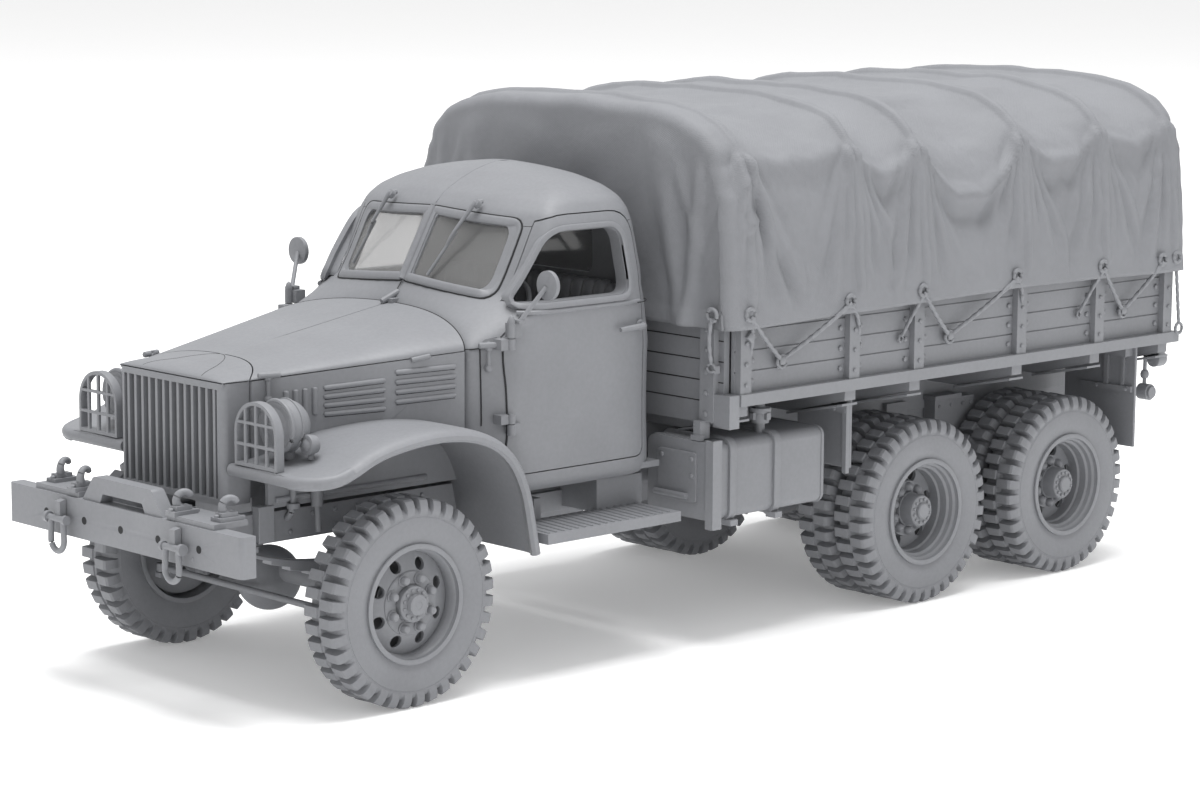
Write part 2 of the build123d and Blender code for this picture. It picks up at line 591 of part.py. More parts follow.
# ---- Head lamps and their guards ----
LAMP_X = 16.7
LAMP_Y = -12.6
LAMP_Z = 36.0
LAMP_R = 3.3
GUARD_HALF = 4.2
GUARD_LOW = 31.15
GUARD_TALL = 8.2
GUARD_DEEP = 1.2
LATTICE = 0.35
GUARD_RIM = 0.45
SIDE_LAMP = (20.2, -11.1, 33.9)
lamp = Pos(LAMP_X, LAMP_Y, LAMP_Z) * Sphere(LAMP_R)
lamp &= block(LAMP_X - 5, LAMP_X + 5, LAMP_Y - 1.4, LAMP_Y + 5, 30, 42)
lamp += bar_z(LAMP_X, LAMP_Y + 0.9, 31.75, 33.5, 0.7)
side_lamp = Pos(*SIDE_LAMP) * Sphere(1.15) + bar_z(SIDE_LAMP[0], SIDE_LAMP[1], 32.05, 33.5, 0.4)


def guard_outline(inset):
    """D-shaped outline of a lamp guard, drawn in by inset."""
    x0 = LAMP_X - GUARD_HALF + inset
    x1 = LAMP_X + GUARD_HALF - inset
    low = GUARD_LOW + inset
    top = GUARD_LOW + GUARD_TALL - inset
    bend = GUARD_HALF - 0.1 - inset
    return [(x0, low, 0), (x1, low, 0), (x1, top, bend), (x0, top, bend)]


guard_face = guard_outline(0)
cage = along_y(guard_face, FENDER_FRONT, FENDER_FRONT + GUARD_DEEP)
cage -= along_y(guard_outline(GUARD_RIM), FENDER_FRONT - 1, -10)
filled = along_y(guard_face, FENDER_FRONT, FENDER_FRONT + 0.4)
for i in (1, 2, 3):
    x = LAMP_X - GUARD_HALF + 2 * GUARD_HALF * i / 4
    cage += filled & block(x - LATTICE / 2, x + LATTICE / 2, -20, -10, 30, 42)
for i in (1, 2):
    z = GUARD_LOW + GUARD_TALL * i / 3
    cage += filled & block(10, 24, -20, -10, z - LATTICE / 2, z + LATTICE / 2)
keep("head_lamps", both(lamp) + both(side_lamp))
keep("lamp_guards", both(cage))

# ---- Cab ----
WIND_LOW = (21.4, 49.3)
WIND_TOP = (26.2, 59.2)
FLOOR_LOW = RAIL_TOP + 0.1
FLOOR_TOP = RAIL_TOP + 0.9


def cab_body(wall):
    """Cab's outer form, or its inside when wall is more than zero: side, front and plan profiles combined."""
    side = [(HOOD_REAR + wall + SEAM, 24.0 + wall, 0), (CAB_BACK - wall, SILL_LOW + wall, 1.5),
            (CAB_BACK - wall, ROOF_TOP - 1.6 - wall, 5.5), (39.0, ROOF_TOP - wall, 12.0),
            (30.5, ROOF_TOP - 0.9 - wall, 8.0), (WIND_TOP[0] + wall, WIND_TOP[1] + 1.2, 3.0),
            (WIND_LOW[0] + wall, WIND_LOW[1] - 0.2, 1.2), (HOOD_REAR + wall + SEAM, HOOD_REAR_TOP - wall, 0)]
    shoulder = ROOF_TOP - 1.1 - wall
    front = [(-CAB_HALF + wall, SILL_LOW + wall, 1.0), (CAB_HALF - wall, SILL_LOW + wall, 1.0),
             (CAB_HALF - wall, BELT, 2.0), (RAIL_HALF - wall, RAIL_Z + 3.0, 4.5), (12.0, shoulder, 14.0),
             (0, ROOF_TOP - wall, 30.0), (-12.0, shoulder, 14.0), (-RAIL_HALF + wall, RAIL_Z + 3.0, 4.5),
             (-CAB_HALF + wall, BELT, 2.0)]
    plan = [(HOOD_REAR_HALF - wall, HOOD_REAR + wall + SEAM, 0), (CAB_HALF - wall, 19.6 + wall, 4.0),
            (CAB_HALF - wall, CAB_BACK - wall, 3.5), (-CAB_HALF + wall, CAB_BACK - wall, 3.5),
            (-CAB_HALF + wall, 19.6 + wall, 4.0), (-HOOD_REAR_HALF + wall, HOOD_REAR + wall + SEAM, 0)]
    body = along_x(side, -30, 30) & along_y(front, 0, 60)
    return body & along_z(plan, 0, 80)


DOOR_EDGE = [(19.35, 26.4, 0.8), (43.8, 26.4, 1.5), (43.8, 59.6, 4.0), (27.2, 59.6, 3.5), (19.35, 47.0, 1.0)]
DOOR_WINDOW = [(22.6, 48.2, 0.8), (40.6, 48.2, 1.0), (40.6, 57.6, 1.6), (28.6, 57.6, 2.0)]


def shrunk(rows, gap):
    """Door outline drawn in by a gap on each side of its middle."""
    u = sum(row[0] for row in rows) / len(rows)
    v = sum(row[1] for row in rows) / len(rows)
    return [(a + (gap if a < u else -gap), b + (gap if b < v else -gap), r) for a, b, r in rows]


DOOR_CUT = (CAB_HALF - 6.4, CAB_HALF + 3.6)
PANES = ((-15.0, -0.7), (0.7, 15.0))
PANE_LOW = 50.2
PANE_TOP = 58.4
REAR_LIGHT = (9.0, 49.5, 57.0)
GLASS_GAP = 0.08


def pane_outline(x0, x1, gap):
    """Outline of one windscreen pane seen from the front, drawn in by a gap."""
    return [(x0 + gap, PANE_LOW + gap, 1.2), (x1 - gap, PANE_LOW + gap, 1.2),
            (x1 - gap, PANE_TOP - gap, 1.6), (x0 + gap, PANE_TOP - gap, 1.6)]


def rear_outline(gap):
    """Outline of the cab's rear window, drawn in by a gap."""
    half, low, top = REAR_LIGHT
    return [(-half + gap, low + gap, 1.5), (half - gap, low + gap, 1.5),
            (half - gap, top - gap, 1.5), (-half + gap, top - gap, 1.5)]


shell = cab_body(0)
room = cab_body(CAB_WALL)
walls = shell - room
for side in (-1, 1):
    near = side * DOOR_CUT[0]
    far = side * DOOR_CUT[1]
    walls -= along_x(DOOR_EDGE, min(near, far), max(near, far))
for x0, x1 in PANES:
    walls -= along_y(pane_outline(x0, x1, 0), 15, 32)
walls -= along_y(rear_outline(0), 40, 60)
walls -= along_x(under_fender, -40, 40)
walls -= block(-HOOD_REAR_HALF + 1, HOOD_REAR_HALF - 1, 10, 19.5, 24, 34)
roof = walls & block(-40, 40, 0, 60, ROOF_SEAM, 80)
lower = walls - block(-40, 40, 0, 60, ROOF_SEAM, 80)
lower -= block(-RAIL_OUT - 0.3, RAIL_OUT + 0.3, 13, 60, 20, FLOOR_LOW)
floor = block(-CAB_HALF + 0.3, CAB_HALF - 0.3, 20.5, CAB_BACK - 0.3, FLOOR_LOW, FLOOR_TOP)
lower += floor & shell
for low, top in CAB_KNUCKLES:
    for side in (-1, 1):
        leaf = bar_z(HINGE_X, HINGE_Y, low, top, HINGE_R)
        leaf += block(CAB_HALF - 1.2, HINGE_X + 0.1, HINGE_Y - 1.7, HINGE_Y - 0.2, low, top)
        lower += leaf if side > 0 else other_side(leaf)
keep("cab_roof", roof)
keep("cab_shell", lower)

door = (shell - cab_body(DOOR_THICK)) & along_x(shrunk(DOOR_EDGE, DOOR_GAP), *DOOR_CUT)
door -= along_x(DOOR_WINDOW, *DOOR_CUT)
for low, top in DOOR_KNUCKLES:
    door += bar_z(HINGE_X, HINGE_Y, low, top, HINGE_R)
    door += block(CAB_HALF - 0.1, HINGE_X, HINGE_Y + 0.3, HINGE_Y + 1.8, low, top)
handle = bar_y(CAB_HALF + 0.9, 38.3, 43.2, HANDLE_Z, 0.35)
handle += bar_x(CAB_HALF - 0.1, CAB_HALF + 0.9, 42.8, HANDLE_Z, 0.35)
door += handle
keep("door_left", door)
keep("door_right", other_side(door))
mirror_arm = bar((HINGE_X + 0.5, HINGE_Y + 1.0, 46.7), (HINGE_X + 2.6, 22.95, 51.1), 0.3)
mirror_head = Pos(HINGE_X + 2.7, 23.2, 51.3) * Rot(90, 0, 0) * Cylinder(1.9, 0.6)
mirror_foot = block(CAB_HALF + 0.05, HINGE_X + 1.0, HINGE_Y + 0.5, HINGE_Y + 1.5, 46.45, 46.9)
outside_mirror = mirror_arm + mirror_head + mirror_foot
keep("mirror_left", outside_mirror)
keep("mirror_right", other_side(outside_mirror))

# ---- Inside the cab ----
pane_rise = WIND_TOP[1] - WIND_LOW[1] + 1.4
pane_run = WIND_TOP[0] - WIND_LOW[0]
pane_slope = degrees(atan2(pane_run, pane_rise))
pane_z = 54.3
pane_y = WIND_LOW[0] + pane_run * (pane_z - WIND_LOW[1] + 0.2) / pane_rise + CAB_WALL / 2
sheet = Pos(0, pane_y, pane_z) * Rot(-pane_slope, 0, 0) * Box(40, 0.3, 20)
glass = [sheet & along_y(pane_outline(x0, x1, GLASS_GAP), 15, 32) for x0, x1 in PANES]
rear_glass = along_y(rear_outline(GLASS_GAP), CAB_BACK - 0.6, CAB_BACK - 0.3)
keep("cab_glass", glass + [rear_glass])
DASH_HALF = CAB_HALF - 6.4
dash = block(-DASH_HALF, DASH_HALF, 21.8, 24.0, 41.5, 48.6)
keep("dashboard", dash)
WHEEL_X = 9.2
wheel_tilt = 40
hub_place = Pos(WHEEL_X, 28.6, 45.5) * Rot(90 - wheel_tilt, 0, 0)
steering = hub_place * Torus(5.6, 0.35)
steering += hub_place * Cylinder(0.9, 0.8)
for turn in (0, 120, 240):
    steering += hub_place * Rot(0, 0, turn) * Pos(2.9, 0, 0) * Box(5.6, 0.45, 0.4)
column = bar((WHEEL_X, 28.3, 45.1), (WHEEL_X, 24.6, 40.7), 0.4)
keep("steering_wheel", steering + column)
seat_base = block(-17.0, 17.0, 31.5, 44.0, FLOOR_TOP + 0.05, 30.5)
cushion = block(-17.6, 17.6, 30.8, 41.6, 30.8, 35.2)
cushion = fillet(cushion.edges(), 1.2)
back_rest = block(-17.6, 17.6, 42.0, 45.6, 31.2, 49.4)
back_rest = fillet(back_rest.edges(), 1.2)
keep("seat_base", seat_base)
keep("bench_seat", [cushion, back_rest])

# ---- Running boards, tank, tool box ----
BOARD_TOP = 19.6
running_board = block(19.6, 28.5, 20.8, 44.7, BOARD_TOP - 1.35, BOARD_TOP)
carrier = block(RAIL_OUT + 0.05, 20.0, 26.0, 27.2, BOARD_TOP - 1.3, 22.4)
carrier += block(RAIL_OUT + 0.05, 20.0, 40.0, 41.2, BOARD_TOP - 1.3, 22.4)
keep("running_boards", both(running_board + carrier))

TANK_OUT = 29.3
TANK_Y0 = 49.6
TANK_Y1 = 71.5
TANK_LOW = 17.6
TANK_TOP = 28.2
tank = along_y([(TANK_IN, TANK_LOW, 1.3), (TANK_OUT, TANK_LOW, 1.3), (TANK_OUT, TANK_TOP, 1.3),
                (TANK_IN, TANK_TOP, 1.3)], TANK_Y0, TANK_Y1)
tank += bar_z(26.6, 61.5, TANK_TOP - 0.2, TANK_TOP + 1.4, 0.7)
tank += bar_z(26.6, 61.5, TANK_TOP + 1.3, TANK_TOP + 2.9, 1.25)
keep("fuel_tank", tank)
tool_box = block(-TANK_OUT, -TANK_IN, TANK_Y0, TANK_Y1, TANK_LOW, TANK_TOP)
keep("tool_box", tool_box)

# ---- Load bed ----
SILL_OUT = 13.2
SILL_TOP = 28.8
BEAM_LOW = SILL_TOP + 0.05
sills = block(RAIL_OUT - RAIL_WIDE, SILL_OUT, BED_FRONT + 0.1, RAIL_TAIL, RAIL_TOP + 0.05, SILL_TOP)
bed_frame = both(sills)
for station in STAKES:
    beam = along_y([
        (-BED_HALF, BED_FLOOR_LOW, 0), (-BED_HALF, BED_FLOOR_LOW - 1.6, 0), (-20, BEAM_LOW, 0),
        (20, BEAM_LOW, 0), (BED_HALF, BED_FLOOR_LOW - 1.6, 0), (BED_HALF, BED_FLOOR_LOW, 0)],
        station + 0.3, station + 2.5)
    bed_frame.append(beam)
keep("bed_sills", bed_frame)
floor_boards = block(-BED_HALF + BOARD, BED_HALF - BOARD, BED_FRONT + 1.1, BED_TAIL - 0.1,
                     BED_FLOOR_LOW, BED_FLOOR_TOP)
keep("bed_floor", floor_boards)

side_wall = block(BED_HALF - BOARD, BED_HALF, BED_FRONT + 1.1, BED_TAIL - 0.1, BED_FLOOR_LOW + 0.02, BED_TOP)
side_wall += block(BED_HALF - 0.05, RAIL_EDGE_OUT, BED_FRONT + 1.1, BED_TAIL + 0.6,
                   BED_FLOOR_LOW, BED_FLOOR_LOW + 1.6)
for station in STAKES:
    side_wall += block(BED_HALF - 0.05, STAKE_OUT, station, station + STAKE_WIDE,
                       BED_FLOOR_LOW + 1.5, BED_TOP)
for i in range(1, 4):
    z = BED_FLOOR_LOW + 1.7 + BOARD_TALL * i
    side_wall -= block(BED_HALF - 0.18, BED_HALF + 0.01, BED_FRONT, BED_TAIL, z - 0.1, z + 0.1)
keep("bed_side_left", side_wall)
keep("bed_side_right", other_side(side_wall))
front_wall = block(-29.4, 29.4, BED_FRONT, BED_FRONT + 1.0, 30.4, BED_TOP)
for side in (-1, 1):
    post = block(25.8, 28.4, BED_FRONT - 1.0, BED_FRONT + 0.05, 30.8, BED_TOP - 0.4)
    corner = block(28.3, 31.4, BED_FRONT - 0.9, BED_FRONT + 1.0, 30.2, BED_FLOOR_LOW + 1.6)
    part = post + corner
    front_wall += part if side > 0 else other_side(part)
front_wall -= block(-SILL_OUT - 0.2, SILL_OUT + 0.2, 40, 60, 20, 30.5)
keep("bed_front", front_wall)

GATE_HINGE_Z = BED_FLOOR_LOW + 0.4
GATE_HINGE_Y = BED_TAIL + 0.6
gate = block(-BED_HALF + BOARD + 0.3, BED_HALF - BOARD - 0.3, BED_TAIL + 0.1, BED_TAIL + 0.1 + TAILGATE_THICK,
             GATE_HINGE_Z + 0.6, BED_TOP - 0.3)
for x in (-22.0, 0.0, 22.0):
    gate += bar_x(x - 1.2, x + 1.2, GATE_HINGE_Y, GATE_HINGE_Z, 0.5)
    gate += block(x - 1.2, x + 1.2, GATE_HINGE_Y - 0.35, GATE_HINGE_Y + 0.35,
                  GATE_HINGE_Z, GATE_HINGE_Z + 1.0)
keep("tailgate", gate)

# ---- Bows and canvas tilt ----
def arch(grow):
    """Outline of the tilt's cross-section, drawn in by grow."""
    half = TILT_HALF - grow
    shoulder = TILT_SHOULDER_HALF - grow
    top = TILT_TOP - grow
    low = TILT_LOW
    bend = Vector(shoulder - 2.4, TILT_SHOULDER + 5.2 - grow * 0.4)
    rows = [Vector(-half, low), Vector(-shoulder, TILT_SHOULDER), Vector(-bend.X, bend.Y),
            Vector(-20.5, top - 1.7), Vector(0, top), Vector(20.5, top - 1.7),
            bend, Vector(shoulder, TILT_SHOULDER), Vector(half, low)]
    return make_face([
        Line(rows[0], rows[1]), ThreePointArc(rows[1], rows[2], rows[3]),
        ThreePointArc(rows[3], rows[4], rows[5]), ThreePointArc(rows[5], rows[6], rows[7]),
        Line(rows[7], rows[8]), Line(rows[8], rows[0])])


def arch_solid(grow, y0, y1):
    """Arch section carried between two stations."""
    start = Plane(origin=(0, y1, 0), x_dir=(1, 0, 0), z_dir=(0, -1, 0))
    return extrude(start * arch(grow), y1 - y0)


TILT_FRONT = BED_FRONT - 0.9 - 0.6
TILT_REAR = BED_TAIL - 0.2
tilt = arch_solid(0, TILT_FRONT, TILT_REAR) - arch_solid(TILT_WALL, TILT_FRONT + TILT_WALL, TILT_REAR + 5)
tilt -= block(-28.5, 28.5, TILT_FRONT - 1, BED_FRONT, 40, BED_TOP - 0.6)
keep("canvas_tilt", tilt)
BOW_WIDE = 1.3
BOW_DEEP = 0.9
BOW_INSET = TILT_WALL + 0.4
bows = []
for station in STAKES:
    y0 = station + (STAKE_WIDE - BOW_WIDE) / 2
    bow = arch_solid(BOW_INSET, y0, y0 + BOW_WIDE)
    bow -= arch_solid(BOW_INSET + BOW_DEEP, y0 - 1, y0 + BOW_WIDE + 1)
    bow -= block(-40, 40, 40, 160, 30, BED_TOP + 0.05)
    bows.append(bow)
keep("bows", bows)

# ---- Mud flaps and rear fittings ----
FRONT_FLAP_Y = 77.0
REAR_FLAP_Y = 141.0
flaps = []
for station, inner, low in ((FRONT_FLAP_Y, 19.0, 21.6), (REAR_FLAP_Y, 15.5, 17.2)):
    flaps += both(block(inner, 29.0, station, station + 0.5, low, BED_FLOOR_LOW - 0.05))
keep("mud_flaps", flaps)
hitch = block(-RAIL_OUT, RAIL_OUT, RAIL_TAIL + 0.05, RAIL_TAIL + 1.0, RAIL_LOW, RAIL_TOP)
hitch += block(-1.2, 1.2, RAIL_TAIL + 0.9, RAIL_TAIL + 2.2, 21.6, 23.6)
hitch += Pos(0, TAIL_END - 1.9, 22.6) * Rot(0, 90, 0) * Torus(1.4, 0.5)
keep("rear_hitch", hitch)
lamps = both(bar_y(27.6, 147.2, 149.2, 30.0, 1.2) + block(26.6, 28.6, 147.2, 148.0, 29.5, 33.0))
keep("tail_lamps", lamps)
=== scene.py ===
"""Looks of a 1:35 display model of a 6x6 cargo truck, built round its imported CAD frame.

Sizes in the tables are millimetres. Stations along the truck are distances behind the front axle, and
in_frame() moves them so that the middle of the truck's length is on the origin and turns them to metres.
"""
import math

import bmesh
import bpy
import numpy as np
from mathutils import Matrix


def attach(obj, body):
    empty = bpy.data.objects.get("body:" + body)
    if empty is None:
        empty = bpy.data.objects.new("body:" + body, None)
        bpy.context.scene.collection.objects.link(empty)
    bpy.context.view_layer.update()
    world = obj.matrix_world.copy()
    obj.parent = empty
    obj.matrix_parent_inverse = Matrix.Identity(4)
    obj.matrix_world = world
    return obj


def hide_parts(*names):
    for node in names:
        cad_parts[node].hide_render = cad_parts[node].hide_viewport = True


bl_info = {
    "name": "Cargo truck model",
    "version": (1, 0, 0),
    "blender": (4, 5, 0),
    "location": "View3D > Sidebar > Truck",
    "description": "Finishes and fine detail of a scale model cargo truck",
    "category": "Object",
}

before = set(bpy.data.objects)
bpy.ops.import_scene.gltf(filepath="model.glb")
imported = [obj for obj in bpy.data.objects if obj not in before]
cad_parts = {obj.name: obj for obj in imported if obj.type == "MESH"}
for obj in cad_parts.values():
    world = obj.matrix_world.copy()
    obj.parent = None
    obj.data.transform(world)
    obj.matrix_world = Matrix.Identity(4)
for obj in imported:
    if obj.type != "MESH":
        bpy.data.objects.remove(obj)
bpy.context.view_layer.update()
MM = 0.001
# millimetres from the front axle back to the middle of the truck's length
MIDDLE = 61.8
TYRE_R = 13.3
FRONT_WHEEL_X = 23.85
REAR_OUTER_X = 25.95
REAR_INNER_X = 19.05
REAR_AXLES = (93.5, 125.5)
DUAL_FACE = 22.5
COVER = DUAL_FACE + 2.2
BOWS = np.array((53.85, 75.25, 88.65, 111.05, 129.05, 145.55))
BED_FACE = 30.3
HINGE = (23.0, 19.3)
# radius of the thin dark bars painted as the shade in gaps, walls of the hollow parts, gaps at the parts that
# move
SHADE_BAR_RADIUS = 0.09
CAB_WALL, DOOR_WALL, HOOD_WALL = 0.9, 1.2, 0.7
DOOR_GAP, ROOF_GAP, NOSE_GAP = 0.15, 0.035, 0.09
SIDES = ((1, "left"), (-1, "right"))
FRONT, OUT, BACK, UP = (0, -1, 0), (1, 0, 0), (0, 1, 0), (0, 0.01, 1)


# ---- Shapes: arrays of points and faces ----
def in_frame(points):
    """Millimetres behind the front axle, as metres in the frame."""
    return (np.asarray(points, float) - (0, MIDDLE, 0)) * MM


class Shape:
    """Points in millimetres and the faces that join them; shapes add up."""

    def __init__(self, points, faces):
        self.points = np.asarray(points, float).reshape(-1, 3)
        self.faces = [np.asarray(rows, int) for rows in faces]

    def __add__(self, other):
        shift = len(self.points)
        return Shape(np.concatenate((self.points, other.points)),
                     self.faces + [rows + shift for rows in other.faces])

    def at(self, by, turn=None):
        """Turned by a matrix, then moved."""
        points = self.points if turn is None else self.points @ np.asarray(turn).T
        return Shape(points + np.asarray(by, float), self.faces)

    def mirrored(self):
        """The same shape on the truck's other side."""
        return Shape(self.points * (-1, 1, 1), [rows[:, ::-1] for rows in self.faces])

    def on_both(self):
        """The shape and its twin on the other side."""
        return self + self.mirrored()

    def sided(self, side):
        """The shape itself for side 1, its twin for side -1."""
        return self if side > 0 else self.mirrored()

    def stood(self, direction, place=(0, 0, 0)):
        """Turned from +X to a direction, then moved to a place."""
        return self.at(place, facing(direction))

    def repeated(self, places):
        """One copy at each place."""
        places = np.asarray(places, float).reshape(-1, 3)
        points = self.points + places[:, None]
        step = (len(self.points) * np.arange(len(places)))[:, None, None]
        return Shape(points, [(rows[None] + step).reshape(-1, rows.shape[1]) for rows in self.faces])


def joined(shapes):
    """Shapes added up in their order."""
    shapes = list(shapes)
    return sum(shapes[1:], shapes[0])


def unit(v):
    """Vectors scaled to length 1."""
    v = np.asarray(v, float)
    return v / np.linalg.norm(v, axis=-1, keepdims=True)


def grid(points, wrap_u=False, wrap_v=False):
    """Quads between neighbours of a (u, v) grid of points, joined round where an axis wraps."""
    nu, nv = points.shape[:2]
    index = np.arange(nu * nv).reshape(nu, nv)
    if wrap_u:
        index = np.concatenate((index, index[:1]))
    if wrap_v:
        index = np.concatenate((index, index[:, :1]), axis=1)
    corners = (index[:-1, :-1], index[1:, :-1], index[1:, 1:], index[:-1, 1:])
    return Shape(points, [np.stack(corners, -1).reshape(-1, 4)])


def capped(skin, count):
    """A grid wound round a line, closed by a face at each end; count points lie round it."""
    ring = np.arange(count)[None]
    return Shape(skin.points, skin.faces + [ring[:, ::-1], ring + len(skin.points) - count])


def lathe(profile, sides, wrap=False):
    """Profile rows (along x, radius) turned round the X axis: y = r cos a, z = r sin a."""
    profile = np.asarray(profile, float)
    a = np.arange(sides) * 2 * math.pi / sides
    x = np.broadcast_to(profile[None, :, 0], (sides, len(profile)))
    r = profile[None, :, 1]
    points = np.stack((x, r * np.cos(a)[:, None], r * np.sin(a)[:, None]), -1)
    return grid(points, wrap_u=True, wrap_v=wrap)


def turned(x, rows, sides, wrap=False):
    """Profile rows (along from a place on the axis, radius), turned."""
    return lathe([(x + along, radius) for along, radius in rows], sides, wrap)


def blocks(rows):
    """Boxes from rows (x0, x1, y0, y1, z0, z1)."""
    rows = np.asarray(rows, float).reshape(-1, 6)
    bits = np.array([[0, 0, 0], [1, 0, 0], [1, 1, 0], [0, 1, 0], [0, 0, 1], [1, 0, 1], [1, 1, 1], [0, 1, 1]])
    points = rows[:, (bits + (0, 2, 4)).ravel()].reshape(-1, 8, 3)
    quads = np.array([[3, 2, 1, 0], [4, 5, 6, 7], [0, 1, 5, 4], [1, 2, 6, 5], [2, 3, 7, 6], [3, 0, 4, 7]])
    faces = (quads[None] + 8 * np.arange(len(rows))[:, None, None]).reshape(-1, 4)
    return Shape(points, [faces])


def slab(outline, axis, start, end):
    """Closed outline carried along an axis; its rows are the other two coordinates in x, y, z order."""
    outline = np.asarray(outline, float)
    n = len(outline)
    ends = [np.insert(outline, axis, value, axis=1) for value in (start, end)]
    ring = np.arange(n)
    ahead = np.roll(ring, -1)
    sides = np.stack((ring, ahead, ahead + n, ring + n), -1)
    return Shape(np.concatenate(ends), [sides, ring[None, ::-1], ring[None] + n])


def rounded(outline, rounds=3, closed=True):
    """Corner cutting: each round swaps a corner for points a quarter along its two sides."""
    points = np.asarray(outline, float)
    for _ in range(rounds):
        ahead = np.roll(points, -1, axis=0)
        cut = np.stack((0.75 * points + 0.25 * ahead, 0.25 * points + 0.75 * ahead), 1)
        cut = cut.reshape(-1, points.shape[1])
        points = cut if closed else np.concatenate((points[:1], cut[1:-3], points[-1:]))
    return points


def run_of(points, spare=0.0):
    """Distance along a line at each of its points; a spare length may be added to every step."""
    return np.concatenate(([0], np.cumsum(np.linalg.norm(np.diff(points, axis=0), axis=1) + spare)))


def evenly(points, count):
    """A line resampled to points an equal distance apart."""
    points = np.asarray(points, float)
    run = run_of(points)
    want = np.linspace(0, run[-1], count)
    return np.stack([np.interp(want, run, column) for column in points.T], -1)


def closed_evenly(points, count):
    """A closed line resampled in the same way, all the way round."""
    return evenly(np.concatenate((points, points[:1])), count + 1)[:-1]


def relaxed(rows, rounds):
    """Rows smoothed: each round, an inner row becomes half itself and a quarter of each neighbour."""
    for _ in range(rounds):
        rows[1:-1] = 0.25 * rows[:-2] + 0.5 * rows[1:-1] + 0.25 * rows[2:]
    return rows


def signed_power(value, power):
    """A value's size to a power, with its sign kept: a superellipse's coordinate from a circle's."""
    return np.sign(value) * np.abs(value) ** power


def bell(value, width, power=2):
    """1 where the value is 0, falling off as exp(-(value / width)^power)."""
    return np.exp(-(value / width) ** power)


def at_x(x, stations, heights):
    """Places at one x, for arrays of stations and heights."""
    return np.stack(np.broadcast_arrays(x, stations, heights), -1)


def rounded_path(points, rounds=3, count=40):
    """Open line through its corners, cut round and evenly spaced."""
    return evenly(rounded(np.asarray(points, float), rounds, closed=False), count)


# how far a rope's strands stand out, as a share of its radius
STRAND_SWELL = 0.16


def tube(path, radius, sides=8, strands=0, lay=2.2, closed=False):
    """Circle carried along a path. Strands make its radius swell round it as a twisted rope's does."""
    path = np.asarray(path, float)
    ahead = unit(np.roll(path, -1, 0) - np.roll(path, 1, 0) if closed else np.gradient(path, axis=0))
    spare = np.where(np.abs(ahead[:, 2:]) < 0.9, (0, 0, 1), (1, 0, 0))
    side = unit(np.cross(ahead, spare))
    up = np.cross(side, ahead)
    run = run_of(path)[:, None]
    a = np.arange(sides) * 2 * math.pi / sides
    swell = 1 + (STRAND_SWELL * np.cos(strands * a[None] - 2 * math.pi * run / lay) if strands else 0 * run)
    radius = np.broadcast_to(radius, len(path))[:, None] * swell
    points = path[:, None] + radius[..., None] * (np.cos(a)[None, :, None] * side[:, None]
                                                  + np.sin(a)[None, :, None] * up[:, None])
    skin = grid(points, wrap_u=closed, wrap_v=True)
    return skin if closed else capped(skin, sides)


def hoop(centre, normal, big, small, sides=24):
    """Ring of round bar about a normal."""
    normal = unit(normal)
    first = unit(np.cross(normal, (0.3, 0.5, 0.8)))
    second = np.cross(normal, first)
    a = np.arange(sides)[:, None] * 2 * math.pi / sides
    return tube(np.asarray(centre) + big * (np.cos(a) * first + np.sin(a) * second), small, 8, closed=True)


def facing(direction):
    """Matrix that turns +X to a direction."""
    d = unit(direction)
    side = unit(np.cross((0, 0, 1), d)) if abs(d[2]) < 0.95 else np.array((0.0, 1.0, 0.0))
    return np.stack((d, side, np.cross(d, side)), -1)


def heads(places, direction, radius, height, sides=6):
    """Bolt heads standing on a face: slightly domed prisms whose feet are sunk in it."""
    profile = [(-0.15, 0), (-0.15, radius), (height * 0.8, radius), (height, radius * 0.72),
               (height * 1.06, 0)]
    return lathe(profile, sides).stood(direction).repeated(places)


def bare_mesh(name, shape):
    """Mesh with just a shape's points and faces."""
    mesh = bpy.data.meshes.new(name)
    mesh.vertices.add(len(shape.points))
    mesh.vertices.foreach_set("co", shape.points.astype(np.float32).ravel())
    corners = np.concatenate([rows.ravel() for rows in shape.faces])
    counts = np.concatenate([np.full(len(rows), rows.shape[1]) for rows in shape.faces])
    mesh.loops.add(len(corners))
    mesh.loops.foreach_set("vertex_index", corners)
    mesh.polygons.add(len(counts))
    mesh.polygons.foreach_set("loop_start", np.cumsum(counts) - counts)
    mesh.update(calc_edges=True)
    return mesh


def rough_mesh(name, shape):
    """Mesh in millimetres from a shape, with its doubles merged and its faces turned outwards."""
    mesh = bare_mesh(name, shape)
    mesh.validate()
    work = bmesh.new()
    work.from_mesh(mesh)
    bmesh.ops.remove_doubles(work, verts=work.verts, dist=2e-4)
    bmesh.ops.dissolve_degenerate(work, edges=work.edges, dist=1e-4)
    bmesh.ops.recalc_face_normals(work, faces=work.faces)
    work.to_mesh(mesh)
    work.free()
    return mesh


def to_frame(mesh, crease):
    """Mesh in millimetres moved into the frame in metres, smooth but for edges sharper than the crease."""
    mesh.transform(Matrix.Scale(MM, 4) @ Matrix.Translation((0, -MIDDLE, 0)))
    mesh.shade_smooth()
    mesh.set_sharp_from_angle(angle=math.radians(crease))


def linked(name, data):
    """Object for a mesh, lamp or camera, linked to the scene."""
    obj = bpy.data.objects.new(name, data)
    bpy.context.scene.collection.objects.link(obj)
    return obj


def new_object(name, mesh, finish):
    """Object for a mesh with its finish."""
    obj = linked(name, mesh)
    mesh.materials.append(finish)
    return obj


def add_piece(name, body, shape, finish, stands_for=(), bevel=0.0, crease=35):
    """Finished object from a shape, riding on a body and standing for CAD nodes where some are named."""
    mesh = rough_mesh(name, shape)
    to_frame(mesh, crease)
    obj = new_object(name, mesh, finish)
    if bevel:
        soften(obj, bevel)
    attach(obj, body)
    if stands_for:
        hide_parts(*stands_for)
    return obj


